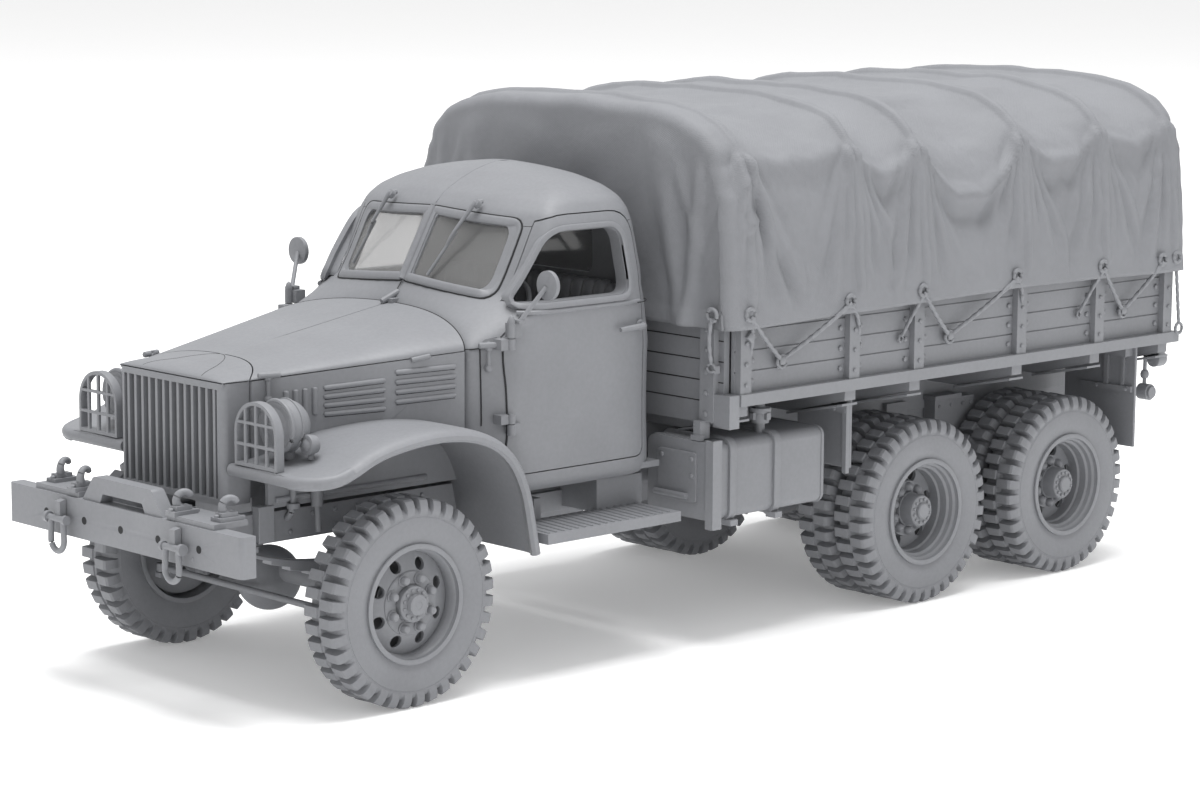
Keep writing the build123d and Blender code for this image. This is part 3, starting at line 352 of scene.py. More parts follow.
def add_seam(name, body, shape):
    """Painted shade in a seam, gap or hole, as a dark piece."""
    add_piece(name, body, shape, FINISHES["seam"])


def add_trim(name, shape, stands_for=(), bevel=0.0, crease=35):
    """A piece of the body's grey plastic that rides on the chassis."""
    add_piece(name, "chassis", shape, FINISHES["body"], stands_for, bevel, crease)


def plain(name, shape):
    """Object in millimetres from a shape, to be carved or walled."""
    return new_object(name, rough_mesh(name, shape), FINISHES["body"])


def soften(obj, width):
    """Moulded edges: a small round on every sharp edge."""
    edge = obj.modifiers.new("Moulded edge", "BEVEL")
    edge.width = width * MM
    edge.segments = 2
    edge.limit_method = "ANGLE"
    edge.angle_limit = math.radians(32)
    edge.use_clamp_overlap = True
    edge.harden_normals = False


# ---- Materials ----
class Socket:
    """A value in a node tree. Python's operators on it add Math nodes."""

    def __init__(self, nodes, link):
        self.nodes = nodes
        self.link = link

    def _math(self, operation, a, b):
        return self.nodes.add("ShaderNodeMath", {"operation": operation}, {0: a, 1: b})

    def __add__(self, other):
        return self._math("ADD", self, other)

    def __mul__(self, other):
        return self._math("MULTIPLY", self, other)


class Nodes:
    """One material's node tree."""

    def __init__(self, name):
        self.material = bpy.data.materials.new(name)
        self.material.use_nodes = True
        self.tree = self.material.node_tree
        self.shader = self.tree.nodes["Principled BSDF"]

    def add(self, kind, settings=None, values=None, out=0):
        """Adds a node: settings first, then the values or links of its sockets. Returns one output."""
        node = self.tree.nodes.new(kind)
        for key, value in (settings or {}).items():
            setattr(node, key, value)
        self.feed(node, values or {})
        return Socket(self, node.outputs[out])

    def feed(self, node, values):
        """Gives sockets their constant values or links."""
        for key, value in values.items():
            if isinstance(value, Socket):
                self.tree.links.new(value.link, node.inputs[key])
            else:
                node.inputs[key].default_value = value

    def place(self, source="Object"):
        """Object coordinates, or the piece's own UV map."""
        return self.add("ShaderNodeTexCoord", out=source)

    def noise(self, place, size, detail=3.0, rough=0.5):
        """Noise whose features are about a size in millimetres; 0 to 1."""
        values = {"Vector": place, "Scale": 1 / (size * MM), "Detail": detail, "Roughness": rough}
        return self.add("ShaderNodeTexNoise", {"noise_dimensions": "3D"}, values)

    def sine(self, value, pace):
        """Sine of a value times a pace."""
        return self.add("ShaderNodeMath", {"operation": "SINE"}, {0: value * pace})

    def ramp(self, value, low, high, start=0.0, end=1.0):
        """A value from low..high carried to start..end, clamped."""
        return self.add("ShaderNodeMapRange", {"clamp": True},
                        {"Value": value, "From Min": low, "From Max": high, "To Min": start, "To Max": end})

    def mix(self, factor, a, b):
        """Colour between a and b."""
        return self.add("ShaderNodeMix", {"data_type": "RGBA"}, {0: factor, 6: a, 7: b}, out=2)

    def bump(self, height, depth):
        """Normal from a height of 0 to 1 standing for a depth in millimetres."""
        return self.add("ShaderNodeBump", None, {"Height": height, "Distance": depth * MM, "Strength": 1.0})


def shade(colour, factor):
    """A colour made lighter or darker, as four numbers."""
    return tuple(min(1.0, channel * factor) for channel in colour[:3]) + (1.0,)


# how far the plastic's tone strays from its colour, and the distance from thread to thread of the weave
MOTTLE = 0.06
THREAD = 0.34


def plastic(name, colour, rough=0.52, grain=0.014, grain_size=0.12):
    """Moulded model plastic: a fine matt grain, faint cloudy tone and slightly polished patches."""
    nodes = Nodes(name)
    place = nodes.place()
    cloud = nodes.noise(place, 9.0, 4.0)
    speck = nodes.noise(place, 0.55, 3.0)
    tone = nodes.ramp(cloud, 0.3, 0.7) * 0.65 + nodes.ramp(speck, 0.35, 0.65) * 0.35
    skin = nodes.noise(place, grain_size, 2.0)
    swell = nodes.noise(place, 3.5, 2.0)
    normal = nodes.bump(skin * 0.8 + swell * 1.2, grain)
    nodes.feed(nodes.shader, {
        "Base Color": nodes.mix(tone, shade(colour, 1 - MOTTLE), shade(colour, 1 + MOTTLE)),
        "Roughness": nodes.ramp(cloud + speck * 0.4, 0.4, 0.95, rough + 0.05, rough - 0.05),
        "Normal": normal, "Specular IOR Level": 0.32})
    return nodes.material


def canvas(name, colour):
    """Plastic moulded as canvas: a fine weave on the piece's own map, over cloudy tone."""
    nodes = Nodes(name)
    weave_place = nodes.place("UV")
    place = nodes.place()
    across = nodes.add("ShaderNodeSeparateXYZ", None, {0: weave_place})
    along = Socket(nodes, across.link.node.outputs[1])
    warp, weft = (nodes.sine(value, 2 * math.pi / THREAD) for value in (across, along))
    cloud = nodes.noise(place, 11.0, 5.0)
    speck = nodes.noise(place, 0.8, 4.0)
    rumple = nodes.noise(place, 2.4, 5.0, 0.6)
    height = warp * weft * 0.22 + speck * 0.35 + rumple * 1.6
    tone = nodes.ramp(cloud, 0.3, 0.7) * 0.6 + nodes.ramp(speck, 0.3, 0.7) * 0.4
    nodes.feed(nodes.shader, {
        "Base Color": nodes.mix(tone, shade(colour, 0.92), shade(colour, 1.07)),
        "Roughness": nodes.ramp(speck, 0.3, 0.7, 0.58, 0.7),
        "Normal": nodes.bump(height, 0.06), "Specular IOR Level": 0.28})
    return nodes.material


def clear(name, colour):
    """Clear moulded glazing with a grey haze."""
    nodes = Nodes(name)
    haze = nodes.noise(nodes.place(), 2.5, 3.0)
    nodes.feed(nodes.shader, {
        "Base Color": nodes.mix(haze, shade(colour, 0.41), shade(colour, 0.44)),
        "Roughness": nodes.ramp(haze, 0.3, 0.7, 0.03, 0.07),
        "Transmission Weight": 0.72, "IOR": 1.45, "Specular IOR Level": 0.5})
    return nodes.material


# ---- Wheels ----
LUGS = 36
LUG_STEPS = np.array((0.0, 0.07, 0.14, 0.21, 0.5, 0.57, 0.64, 0.71))
# a lug's rise and fall over its pitch: places, and its share of the full height at each
LUG_RISE = ((0, 0.07, 0.64, 0.71), (0, 1, 1, 0))
# rows (x, radius): the same places along a tyre's half section, on a lug and between lugs
LUG_ON = np.array([(0, 12.95), (0.16, 13.0), (0.26, 13.2), (0.78, 13.24), (2.35, 13.3), (2.72, 13.12),
                   (3.02, 12.55), (3.15, 12.0), (3.12, 11.65), (3.03, 11.35)])
LUG_OFF = np.array([(0, 12.95), (0.12, 12.9), (0.3, 12.45), (0.5, 12.25), (2.2, 12.2), (2.45, 12.1),
                    (2.7, 11.95), (2.85, 11.75), (2.94, 11.55), (3.0, 11.33)])
SIDE_WALL = np.array([(3.04, 11.2), (3.07, 11.1), (3.03, 11.04), (3.08, 10.98), (3.14, 10.5), (3.15, 9.9),
                      (3.12, 9.2), (3.0, 8.5), (2.86, 8.0), (2.8, 7.75), (2.8, 7.52)])


def tread_tyre():
    """Tyre at the origin: half sections on and off the lugs are blended round the wheel, the two shoulders
    half a pitch apart, so that point = off + share * (on - off)."""
    turn = (np.arange(LUGS)[:, None] + LUG_STEPS[None]).ravel() / LUGS
    step = np.tile(LUG_STEPS, LUGS)
    sides = []
    for sign, share in ((1, np.interp(step, *LUG_RISE)), (-1, np.interp((step + 0.5) % 1, *LUG_RISE))):
        half = LUG_OFF[None] + share[:, None, None] * (LUG_ON - LUG_OFF)[None]
        wall = np.broadcast_to(SIDE_WALL[None], (len(turn),) + SIDE_WALL.shape)
        sides.append(np.concatenate((half, wall), 1) * (sign, 1))
    section = np.concatenate((sides[1][:, :0:-1], sides[0]), 1)
    a = (2 * math.pi * turn)[:, None]
    points = np.stack((section[..., 0], section[..., 1] * np.cos(a), section[..., 1] * np.sin(a)), -1)
    return grid(points, wrap_u=True, wrap_v=True)


def around(count, radius, x, start=0.5):
    """Places evenly round a wheel's centre."""
    a = (np.arange(count) + start) * 2 * math.pi / count
    return np.stack((np.full(count, x), radius * np.cos(a), radius * np.sin(a)), -1)


def lip(x, steps):
    """Rounded rim edge and the stepped barrel inside it, as one closed turned ring."""
    edge = [(2.55, 7.0), (2.8, 7.02), (3.0, 7.1), (3.12, 7.28), (3.14, 7.45), (3.05, 7.6), (2.9, 7.66),
            (2.75, 7.62)]
    return turned(x, steps + edge, 72, wrap=True)


def front_wheel_parts():
    """Front wheel's ring, studs and hub bolts at the wheel's own place."""
    x = FRONT_WHEEL_X
    ring = lip(x, [(0.7, 7.1), (0.95, 6.62), (1.25, 6.55), (1.9, 6.62), (2.1, 6.74), (2.35, 6.8)])
    boss = turned(x, [(1.6, 2.35), (2.75, 2.3), (2.88, 2.18), (2.88, 1.2), (1.6, 1.2)], 48, wrap=True)
    raised = turned(x, [(1.2, 4.25), (1.95, 4.1), (2.05, 3.95), (2.0, 2.5), (1.2, 2.5)], 64, wrap=True)
    nut = lathe([(0, 0), (0, 0.78), (0.2, 0.78), (0.22, 0.58), (0.75, 0.55), (0.95, 0.42), (1.02, 0.2),
                 (1.02, 0)], 16)
    nuts = nut.repeated(around(8, 3.3, x + 1.98))
    drum = turned(x, [(-1.75, 2.7), (-1.75, 6.5), (-1.45, 6.5), (-1.45, 2.7)], 64, wrap=True)
    flange = heads(around(12, 1.78, x + 2.86), OUT, 0.22, 0.2, 8)
    cap = turned(x, [(2.7, 0), (2.7, 1.28), (3.5, 1.22), (3.62, 1.1), (3.64, 0.55), (3.58, 0.5),
                     (3.58, 0)], 40)
    return ring + boss + raised + nuts + flange + cap + drum


def hand_holes(x):
    """Places of the six hand holes in a rear wheel's cover."""
    return around(6, 4.9, x, 0.2)


def rear_cover():
    """Outer rear wheel's dished plate with its six hand holes, cut once and read back as a shape."""
    profile = [(-0.5, 5.85), (0, 5.9), (0.15, 4.15), (0.75, 3.98), (0.8, 2.3), (-0.5, 2.3)]
    hole = lathe([(-2, 0), (-2, 0.92), (2, 0.92), (2, 0)], 24)
    cut = plain("cover", turned(COVER, profile, 72, wrap=True))
    carve(cut, [("DIFFERENCE", hole.repeated(hand_holes(COVER)))])
    mesh = cut.data
    points = np.empty(len(mesh.vertices) * 3)
    mesh.vertices.foreach_get("co", points)
    corners = np.empty(len(mesh.loops), int)
    mesh.loops.foreach_get("vertex_index", corners)
    starts = np.empty(len(mesh.polygons), int)
    mesh.polygons.foreach_get("loop_start", starts)
    bpy.data.objects.remove(cut)
    return Shape(points.reshape(-1, 3), [face[None] for face in np.split(corners, starts[1:])])


def rear_wheel_parts():
    """Outer rear wheel's stepped dish, cover, domed nuts and long hub with its bolts and cap."""
    x = REAR_OUTER_X
    ring = lip(x, [(-1.6, 7.1), (-1.6, 5.8), (0.2, 5.86), (0.42, 6.12), (1.5, 6.22), (1.72, 6.56),
                   (2.3, 6.66)])
    profile = [(-0.1, 0), (-0.1, 0.7), (0.32, 0.68), (0.62, 0.5), (0.8, 0.25), (0.84, 0)]
    nuts = lathe(profile, 16).repeated(around(10, 3.15, COVER + 0.76))
    end = DUAL_FACE + 5.7
    hub = lathe([(COVER, 0), (COVER, 2.5), (COVER + 1.3, 2.45), (COVER + 1.35, 2.36), (end - 0.12, 2.2),
                 (end, 2.08), (end, 0)], 48)
    bolts = heads(around(12, 1.68, end), OUT, 0.24, 0.24)
    cap = turned(end, [(-0.2, 0), (-0.2, 1.2), (0.36, 1.15), (0.5, 1.0), (0.52, 0)], 36)
    return ring + rear_cover() + nuts + hub + bolts + cap


class TRUCK_OT_wheels(bpy.types.Operator):
    """Lugged tyres and the wheels' rings, covers with hand holes and painted shade behind them, nuts, hubs
    and bolts
    """
    bl_idname = "truck.wheels"
    bl_label = "Wheels"

    def execute(self, context):
        tyre = tread_tyre()
        front = front_wheel_parts()
        rear = rear_wheel_parts()
        # dark discs just inside the cover's hand holes: painted shade seen through them
        dark = lathe([(-0.1, 0), (-0.1, 1.05), (0, 1.05), (0, 0)], 16).repeated(hand_holes(COVER - 0.55))
        for side, name in SIDES:
            where = f"front_{name}"
            single = tyre.at((side * FRONT_WHEEL_X, 0, TYRE_R))
            self.tread(f"tread_{where}", f"wheel_{where}", single, f"tyre_{where}")
            add_piece(f"wheel_fittings_{where}", f"wheel_{where}", front.sided(side).at((0, 0, TYRE_R)),
                      FINISHES["wheel"])
            for number, station in enumerate(REAR_AXLES, 1):
                where = f"rear_{number}_{name}"
                hub = (0, station, TYRE_R)
                pair = joined(tyre.at((side * x, station, TYRE_R)) for x in (REAR_OUTER_X, REAR_INNER_X))
                self.tread(f"treads_{where}", f"wheel_{where}", pair, f"tyres_{where}")
                add_piece(f"wheel_fittings_{where}", f"wheel_{where}", rear.sided(side).at(hub),
                          FINISHES["wheel"])
                add_seam(f"wheel_hole_shade_{where}", f"wheel_{where}", dark.sided(side).at(hub))
        return {"FINISHED"}

    def tread(self, name, body, shape, node):
        """One tyre or a pair of them, standing for a frame node."""
        add_piece(name, body, shape, FINISHES["rubber"], (node,), crease=28)


# ---- Canvas tilt ----
# rows (half width, height): the tilt's section from the hem to the crown
TILT_SECTION = [(32.05, 43.9), (31.85, 47.0), (31.3, 53.0), (30.5, 60.5), (29.8, 64.4), (28.5, 67.4),
                (25.9, 69.7), (22.3, 71.1), (17.0, 72.0), (9.9, 72.5), (0, 72.65)]
TILT_FRONT = 50.15
TILT_CORNER = 1.5
TILT_REAR = 147.5
HEM = 43.9
FRONT_HEM = 43.6
HEM_TALL = 2.1
SHOULDER = 66.5
# how far each bay's swag hangs below the shoulder, from the front bay to the rear one
SWAG_DROPS = np.array((1.6, 4.2, 8.4, 4.6, 3.0))


def tilt_section(count):
    """Tilt's outline from the left hem over the crown to the right hem, evenly spaced and smoothed."""
    half = np.array(TILT_SECTION)
    return relaxed(evenly(np.concatenate((half, half[-2::-1] * (-1, 1))), count), count // 22)


def ripples(a, b, seed, count, short, long):
    """Sum of plane waves with random directions and lengths, each of height 1."""
    rng = np.random.default_rng(seed)
    total = np.zeros(np.broadcast(a, b).shape)
    for _ in range(count):
        length = rng.uniform(short, long)
        angle, phase = rng.uniform(0, math.pi), rng.uniform(0, 2 * math.pi)
        total += np.sin(2 * math.pi * (a * math.cos(angle) + b * math.sin(angle)) / length + phase)
    return total


def smooth(low, high, value):
    """0 below low, 1 above high, and an S curve between."""
    t = np.clip((value - low) / (high - low), 0, 1)
    return t * t * (3 - 2 * t)


def bay_of(y):
    """Each station's bay between two bows: its length, how far along it the station lies, 0 to 1, and the
    drop of its swag."""
    bay = np.clip(np.searchsorted(BOWS, y) - 1, 0, len(BOWS) - 2)
    span = (BOWS[1:] - BOWS[:-1])[bay]
    return span, np.clip((y - BOWS[bay]) / span, 0, 1), SWAG_DROPS[bay]


def swag_line(y):
    """Height of the U-shaped line where the cloth of the top turns into the hanging side."""
    _, u, drop = bay_of(y)
    belly = 4 * u * (1 - u)
    return SHOULDER - drop * belly ** 0.8 + 0.25 * np.sin(y * 0.9) * belly


def slack(x, y, z):
    """Between the bows the cloth cuts the shoulder: a point moves towards the chord from the crown to the
    swag line by a share that grows from the bows to the middle of the bay, P' = P + w (C - P)."""
    span, u, _ = bay_of(y)
    belly = (4 * u * (1 - u)) ** 0.75 + 0 * x
    low = swag_line(y) + 0 * x
    wide, tall = np.array(TILT_SECTION[:8]).T
    foot = np.interp(low, tall, wide)
    side = np.abs(x)
    head_x, head_z = 13.0, 72.3 - 0.035 * span
    t = np.clip(((side - head_x) + (head_z - z)) / ((foot - head_x) + (head_z - low)), 0, 1)
    inside = (side > head_x) & (z > low)
    w = 0.74 * belly * inside * smooth(0, 0.12, t) * smooth(1.0, 0.9, t)
    chord_x = head_x + t * (foot - head_x)
    chord_z = head_z + t * (low - head_z)
    bulge = 1.5 * np.sin(math.pi * t)
    new_x = side + w * (chord_x + 0.62 * bulge - side)
    new_z = z + w * (chord_z + 0.78 * bulge - z)
    return np.sign(x) * new_x, new_z


# rows (how far a fold leans from its bow, its curve, height and width): folds that fan from the shoulders
FAN_FOLDS = ((0.42, 0.9, 0.5, 0.5), (1.2, 0.95, 0.62, 0.62), (2.1, 0.9, 0.42, 0.85))


def tilt_relief(y, z, run):
    """Distance that the cloth stands out from its slack section, in millimetres: it sags between the bows, is
    ridged over each, hollow under each swag, and falls from the bows' shoulders in fans of folds."""
    span, u, drop = bay_of(y)
    belly = 4 * u * (1 - u) + 0 * z
    side = smooth(70.5, 65.0, z)
    low = swag_line(y)
    strong = np.clip(drop / 5.0, 0.12, 1.3)
    sag = -0.05 * span * (1 - side) * belly ** 0.8
    fold = 0.5 * strong * bell(z - low, 0.62) * np.minimum(1, 2.6 * belly)
    hollow = -(0.3 + 0.6 * strong) * bell(z - low + 3.0, 2.0) * belly ** 1.2
    near = y[..., None] - BOWS
    pick = np.argmin(np.abs(near), -1)
    off = np.take_along_axis(near, pick[..., None], -1)[..., 0] + 0 * z
    depth = np.maximum(0, SHOULDER + 0.5 - z)
    rng = np.random.default_rng(8)
    fan = np.zeros_like(off)
    for reach, power, size, wide in FAN_FOLDS:
        shift = rng.uniform(0.85, 1.2, (2, len(BOWS)))
        tall = rng.uniform(16, 30, (2, len(BOWS)))
        which = (off > 0).astype(int)
        lie = np.abs(off) - 0.5 - reach * shift[which, pick] * (depth / 4.0) ** power
        fade = smooth(0, 2.0, depth) * smooth(tall[which, pick], tall[which, pick] * 0.5, depth)
        width = wide * (0.45 + 0.07 * depth)
        fan += size * fade * np.where(lie < 0, bell(lie, 1.7 * width), bell(lie, 0.7 * width))
        fan -= 0.7 * size * fade * bell(lie - 1.9 * width, 1.1 * width)
    slant = (y - 54.6) - 0.11 * np.maximum(0, 66.0 - z) ** 1.55
    width = 0.35 + 0.035 * np.maximum(0, 66.0 - z)
    first = smooth(66.5, 64.0, z) * smooth(46.5, 50.0, z)
    fan += 0.75 * first * np.where(slant < 0, bell(slant, width), bell(slant, 3.2 * width))
    fan -= 0.5 * first * bell(slant + 2.4 * width, 1.5 * width)
    off = np.abs(off)
    post = 0.34 * bell(off, 0.55, 3) * smooth(45.5, 49.0, z) * side
    ridge = 0.46 * bell(off, 0.5, 3) * (1 - 0.7 * side) + 0.26 * bell(off, 1.9, 1.4)
    rumple = 0.026 * ripples(y, run, 11, 14, 6.0, 14.0) + 0.014 * ripples(y, run, 12, 14, 2.5, 5.0)
    rumple = rumple * (0.5 + 0.5 * side)
    pull = 0.04 * ripples(y * 0.8 + run * 0.5, run * 0.2, 13, 8, 4.0, 8.0) * (1 - side)
    tucks = 0.26 * np.maximum(0, np.sin(0.9 * y + 1.3 * np.sin(0.37 * y)) - 0.25) ** 1.5
    tucks = tucks * smooth(50.5, 46.4, z) * smooth(45.4, 46.2, z)
    return sag + side * (fold + hollow + fan) + post + ridge + rumple + pull + tucks


def hem_line(y):
    """Height of the hem along the side."""
    return np.interp(y, (50, 53, 59, 72, 88, 108, 125, 142, 148),
                     (43.6, 43.5, 43.7, 44.0, 44.2, 44.6, 44.5, 44.1, 44.2))


# points of the finely drawn section, rows along the tilt, columns over it, rows down its front
FINE, ROWS, COLUMNS, CURTAIN_ROWS = 600, 330, 120, 48


def tilt_surface():
    """The tilt as one sheet. Its rows run from the rear edge forward, round the front corner and down the
    closed front; each front row drops every point of the section straight towards the hem line."""
    share = np.interp(np.linspace(0, 1, COLUMNS), (0, 0.38, 0.62, 1), (0, 0.28, 0.72, 1)) * (FINE - 1)
    section = np.column_stack([np.interp(share, np.arange(FINE), column) for column in tilt_section(FINE).T])
    run = run_of(section)
    tangent = unit(np.gradient(section, axis=0))
    normal = np.stack((tangent[:, 1], -tangent[:, 0]), -1)
    y = np.linspace(TILT_REAR, TILT_FRONT + TILT_CORNER, ROWS)[:, None]
    x, z = section[None, :, 0], section[None, :, 1]
    out = tilt_relief(np.broadcast_to(y, (ROWS, COLUMNS)), z, run[None])
    hem = smooth(HEM + HEM_TALL + 0.12, HEM + HEM_TALL - 0.02, z)
    sway = np.sin(np.pi * np.clip((y - BOWS[0]) / (BOWS[-1] - BOWS[0]), 0, 1) * 9)
    out = out * (1 - 0.6 * hem) + 0.12 * hem
    out += hem * 0.1 * sway
    sx, sz = slack(x, y, z)
    behind = y - TILT_FRONT - TILT_CORNER
    gather = smooth(5.5, 1.5, behind) * (0.3 + 0.7 * smooth(0, 1.6, behind))
    crumple = 1 - np.abs(np.sin(0.62 * z - 0.38 * (y - TILT_FRONT) + 0.8 * np.sin(0.45 * z))) ** 0.7
    bunch = (1.15 * crumple - 0.3) * smooth(54, 58, z) * smooth(68.0, 65.5, z)
    ruffle = (0.5 * np.abs(np.sin(0.9 * z + 0.5 * y)) - 0.2) * smooth(51, 48, z)
    bunch = bunch + ruffle * smooth(45.0, 46.4, z)
    out = out + gather * bunch + 0.35 * gather * smooth(52, 62, z) * smooth(68.5, 65, z)
    drop = (hem_line(y) - HEM) * smooth(53, 44, z)
    cover = np.stack((sx + out * normal[None, :, 0], y + 0 * out, sz + out * normal[None, :, 1] + drop), -1)
    turn = np.linspace(0, math.pi / 2, 9)[1:, None]
    edge = cover[-1]
    inset = TILT_CORNER * (1 - np.cos(turn))
    ahead = TILT_CORNER * np.sin(turn)
    corner = np.stack((edge[None, :, 0] - inset * normal[None, :, 0],
                       TILT_FRONT + TILT_CORNER - ahead + 0 * edge[None, :, 0],
                       np.maximum(edge[None, :, 2] - inset * normal[None, :, 1], 43.5)), -1)
    last = corner[-1]
    fall = np.linspace(0, 1, CURTAIN_ROWS + 1)[1:, None] ** 1.15
    foot = 30.35 * (1 - 2 * run / run[-1])[None, :]
    cx = last[None, :, 0] + (foot - last[None, :, 0]) * fall ** 1.15
    cz = last[None, :, 2] + (FRONT_HEM - last[None, :, 2]) * fall
    wide, tall = np.array(TILT_SECTION).T
    off = np.abs(cx)
    inside = smooth(0, 3.5, np.interp(cz, tall, wide) - TILT_CORNER - off) * smooth(0, 0.12, fall)
    folds = 0.7 * bell(off - 25.5 - 0.12 * (cz - 56), 1.0) + 0.6 * bell(off - 20.5 + 0.2 * (cz - 56), 1.4)
    folds += 0.4 * bell(off - 23.0 + 0.45 * (cz - 62), 1.0) * smooth(50, 60, cz)
    folds += 0.35 * bell(off - 15.0 - 0.3 * (cz - 60), 1.7) * smooth(68, 58, cz)
    folds += 0.3 * bell(cx - 9.0 + 0.1 * (cz - 56), 2.2) + 0.3 * bell(cx + 7.0, 2.6)
    folds += 0.05 * ripples(cx, cz * 0.6, 21, 12, 4.0, 12.0)
    cy = last[None, :, 1] - np.clip(folds, -0.1, 1.2) * inside
    cy -= 0.12 * smooth(FRONT_HEM + HEM_TALL + 0.1, FRONT_HEM + HEM_TALL, cz)
    points = np.concatenate((cover, corner, np.stack((cx, cy, cz), -1)))
    along = np.concatenate((y[:, 0], TILT_FRONT + TILT_CORNER - TILT_CORNER * turn[:, 0],
                            TILT_FRONT - 1 - 28 * fall[:, 0]))
    uv = np.stack(np.broadcast_arrays(run[None], along[:, None]), -1)
    return points, uv


class TRUCK_OT_tilt(bpy.types.Operator):
    """Canvas tilt: one draped sheet with swags between the bows and a closed front"""
    bl_idname = "truck.tilt"
    bl_label = "Canvas tilt"

    def execute(self, context):
        points, uv = tilt_surface()
        shape = grid(in_frame(points))
        mesh = bare_mesh("tilt_cover", shape)
        layer = mesh.uv_layers.new(name="weave")
        layer.data.foreach_set("uv", uv.reshape(-1, 2)[shape.faces[0].ravel()].astype(np.float32).ravel())
        mesh.shade_smooth()
        obj = new_object("tilt_cover", mesh, FINISHES["canvas"])
        wall = obj.modifiers.new("Cloth wall", "SOLIDIFY")
        wall.thickness = context.scene.truck_look.cloth
        wall.offset = -1.0
        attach(obj, "chassis")
        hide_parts("canvas_tilt")
        lengths = np.linalg.norm(np.diff(tilt_section(260), axis=0), axis=1).sum() * MM
        return {"FINISHED"}


# ---- Bodywork ----
# rows (height on the centre line, drop to the side, front station, set-back of the front's corners, front
#       half width, half width, back station, squareness in front, squareness behind): the cab's sections
CAB_ROWS = np.array([
    (25.4, 1.4, 18.9, 0.0, 21.4, 21.7, 46.9, 24, 7.0), (26.0, 1.4, 18.6, 0.0, 21.3, 22.35, 47.5, 24, 7.0),
    (29.8, 1.6, 16.8, 0.0, 20.7, 22.4, 47.5, 24, 7.0), (33.2, 1.8, 14.4, 0.0, 20.1, 22.4, 47.5, 24, 7.0),
    (36.0, 2.0, 14.2, 0.0, 20.0, 22.4, 47.5, 24, 7.0), (41.0, 2.6, 15.4, -1.2, 20.0, 22.4, 47.5, 24, 7.0),
    (44.6, 3.2, 18.1, -4.0, 20.0, 22.4, 47.5, 24, 7.0), (46.6, 3.75, 18.35, -4.25, 20.0, 22.4, 47.5, 22, 6.5),
    (46.95, 3.7, 18.6, -4.2, 20.05, 22.4, 47.5, 20, 6.3), (47.4, 3.2, 18.75, -2.9, 20.2, 22.4, 47.5, 14, 6.0),
    (48.1, 2.4, 19.2, -0.6, 20.3, 22.35, 47.5, 9.0, 5.8), (48.9, 1.7, 19.9, 1.3, 20.4, 22.25, 47.5, 6.5, 5.4),
    (49.9, 1.2, 20.6, 2.6, 20.5, 22.1, 47.5, 5.4, 5.0), (52.0, 1.0, 21.8, 2.9, 20.6, 21.7, 47.5, 5.0, 5.0),
    (55.0, 0.9, 23.5, 2.5, 20.2, 20.9, 47.4, 4.8, 4.8), (58.0, 0.7, 25.2, 1.9, 19.6, 20.1, 47.2, 4.6, 4.6),
    (59.8, 0.5, 26.3, 1.6, 19.1, 19.4, 46.9, 4.4, 4.4), (61.3, 0.5, 28.0, 1.4, 18.1, 18.4, 46.2, 4.0, 4.0),
    (62.6, 0.5, 30.4, 1.0, 16.2, 16.4, 45.0, 3.6, 3.6), (63.7, 0.4, 33.0, 0.5, 12.8, 13.0, 43.2, 3.0, 3.0),
    (64.4, 0.3, 35.4, 0.2, 8.6, 8.6, 41.2, 2.4, 2.4), (64.75, 0.1, 37.2, 0.0, 3.6, 3.6, 39.5, 2.0, 2.0)])
DOOR_LINE = [(19.35, 26.4, 0.8), (43.8, 26.4, 1.5), (43.8, 59.4, 4.2), (27.6, 59.4, 4.6), (19.35, 47.0, 1.6)]
REAR_WINDOW = [(-9, 49.5, 1.5), (9, 49.5, 1.5), (9, 57, 1.5), (-9, 57, 1.5)]
DOOR_GLASS = [(22.4, 48.4, 1.2), (41.2, 48.4, 1.6), (41.2, 57.3, 2.4), (29.0, 57.3, 2.8)]
ROOF_LINE = 57.8


def arced(rows, steps=7):
    """Closed outline from rows (u, v, corner radius): each corner is a quadratic curve."""
    rows = np.asarray(rows, float)
    here, r = rows[:, :2], rows[:, 2:]
    back, ahead = unit(np.roll(here, 1, 0) - here), unit(np.roll(here, -1, 0) - here)
    t = np.linspace(0, 1, steps)[None, :, None]
    a, b = (here + back * r)[:, None], (here + ahead * r)[:, None]
    return ((1 - t) ** 2 * a + 2 * t * (1 - t) * here[:, None] + t * t * b).reshape(-1, 2)


# levels of the cab's skin, points round each, and points of the fine curve that they are taken from
LEVELS, ROUND, ROUND_FINE = 130, 270, 1400


def cab_skin():
    """Cab's closed skin. Each level is a superellipse |X|^n + |Y|^n = 1 between the front and back stations,
    narrowed and set back towards its front corners, and lowered from the centre line to the sides."""
    run = run_of(CAB_ROWS[:, [0, 2]], 0.3)
    want = np.linspace(0, run[-1], LEVELS)
    rows = relaxed(np.stack([np.interp(want, run, column) for column in CAB_ROWS.T], -1), 3)
    a = np.linspace(0, 2 * math.pi, ROUND_FINE, endpoint=False)
    rings = []
    for z, drop, front, back_set, wf, wm, rear, n_front, n_rear in rows:
        power = np.where(np.sin(a) < 0, 2 / n_front, 2 / n_rear)
        x, y = signed_power(np.cos(a), power), signed_power(np.sin(a), power)
        ahead = smooth(-0.62, -1.0, y)
        px = x * (wm + (wf - wm) * ahead)
        py = (rear + front) / 2 + (rear - front) / 2 * y + back_set * x * x * ahead
        ring = np.stack((px, py, z - drop * np.abs(x) ** 2.4), -1)
        rings.append(closed_evenly(ring, ROUND))
    return capped(grid(np.array(rings), wrap_v=True), ROUND)


def nearest_mean(places, near, values):
    """Value at each place: the mean over its four nearest points, each weighted by 1 / distance^2."""
    gap = np.linalg.norm(places[:, None] - near[None], axis=-1)
    pick = np.argsort(gap, axis=1)[:, :4]
    weight = 1 / (np.take_along_axis(gap, pick, 1) + 1e-3) ** 2
    return (values[pick] * weight).sum(1) / weight.sum(1)


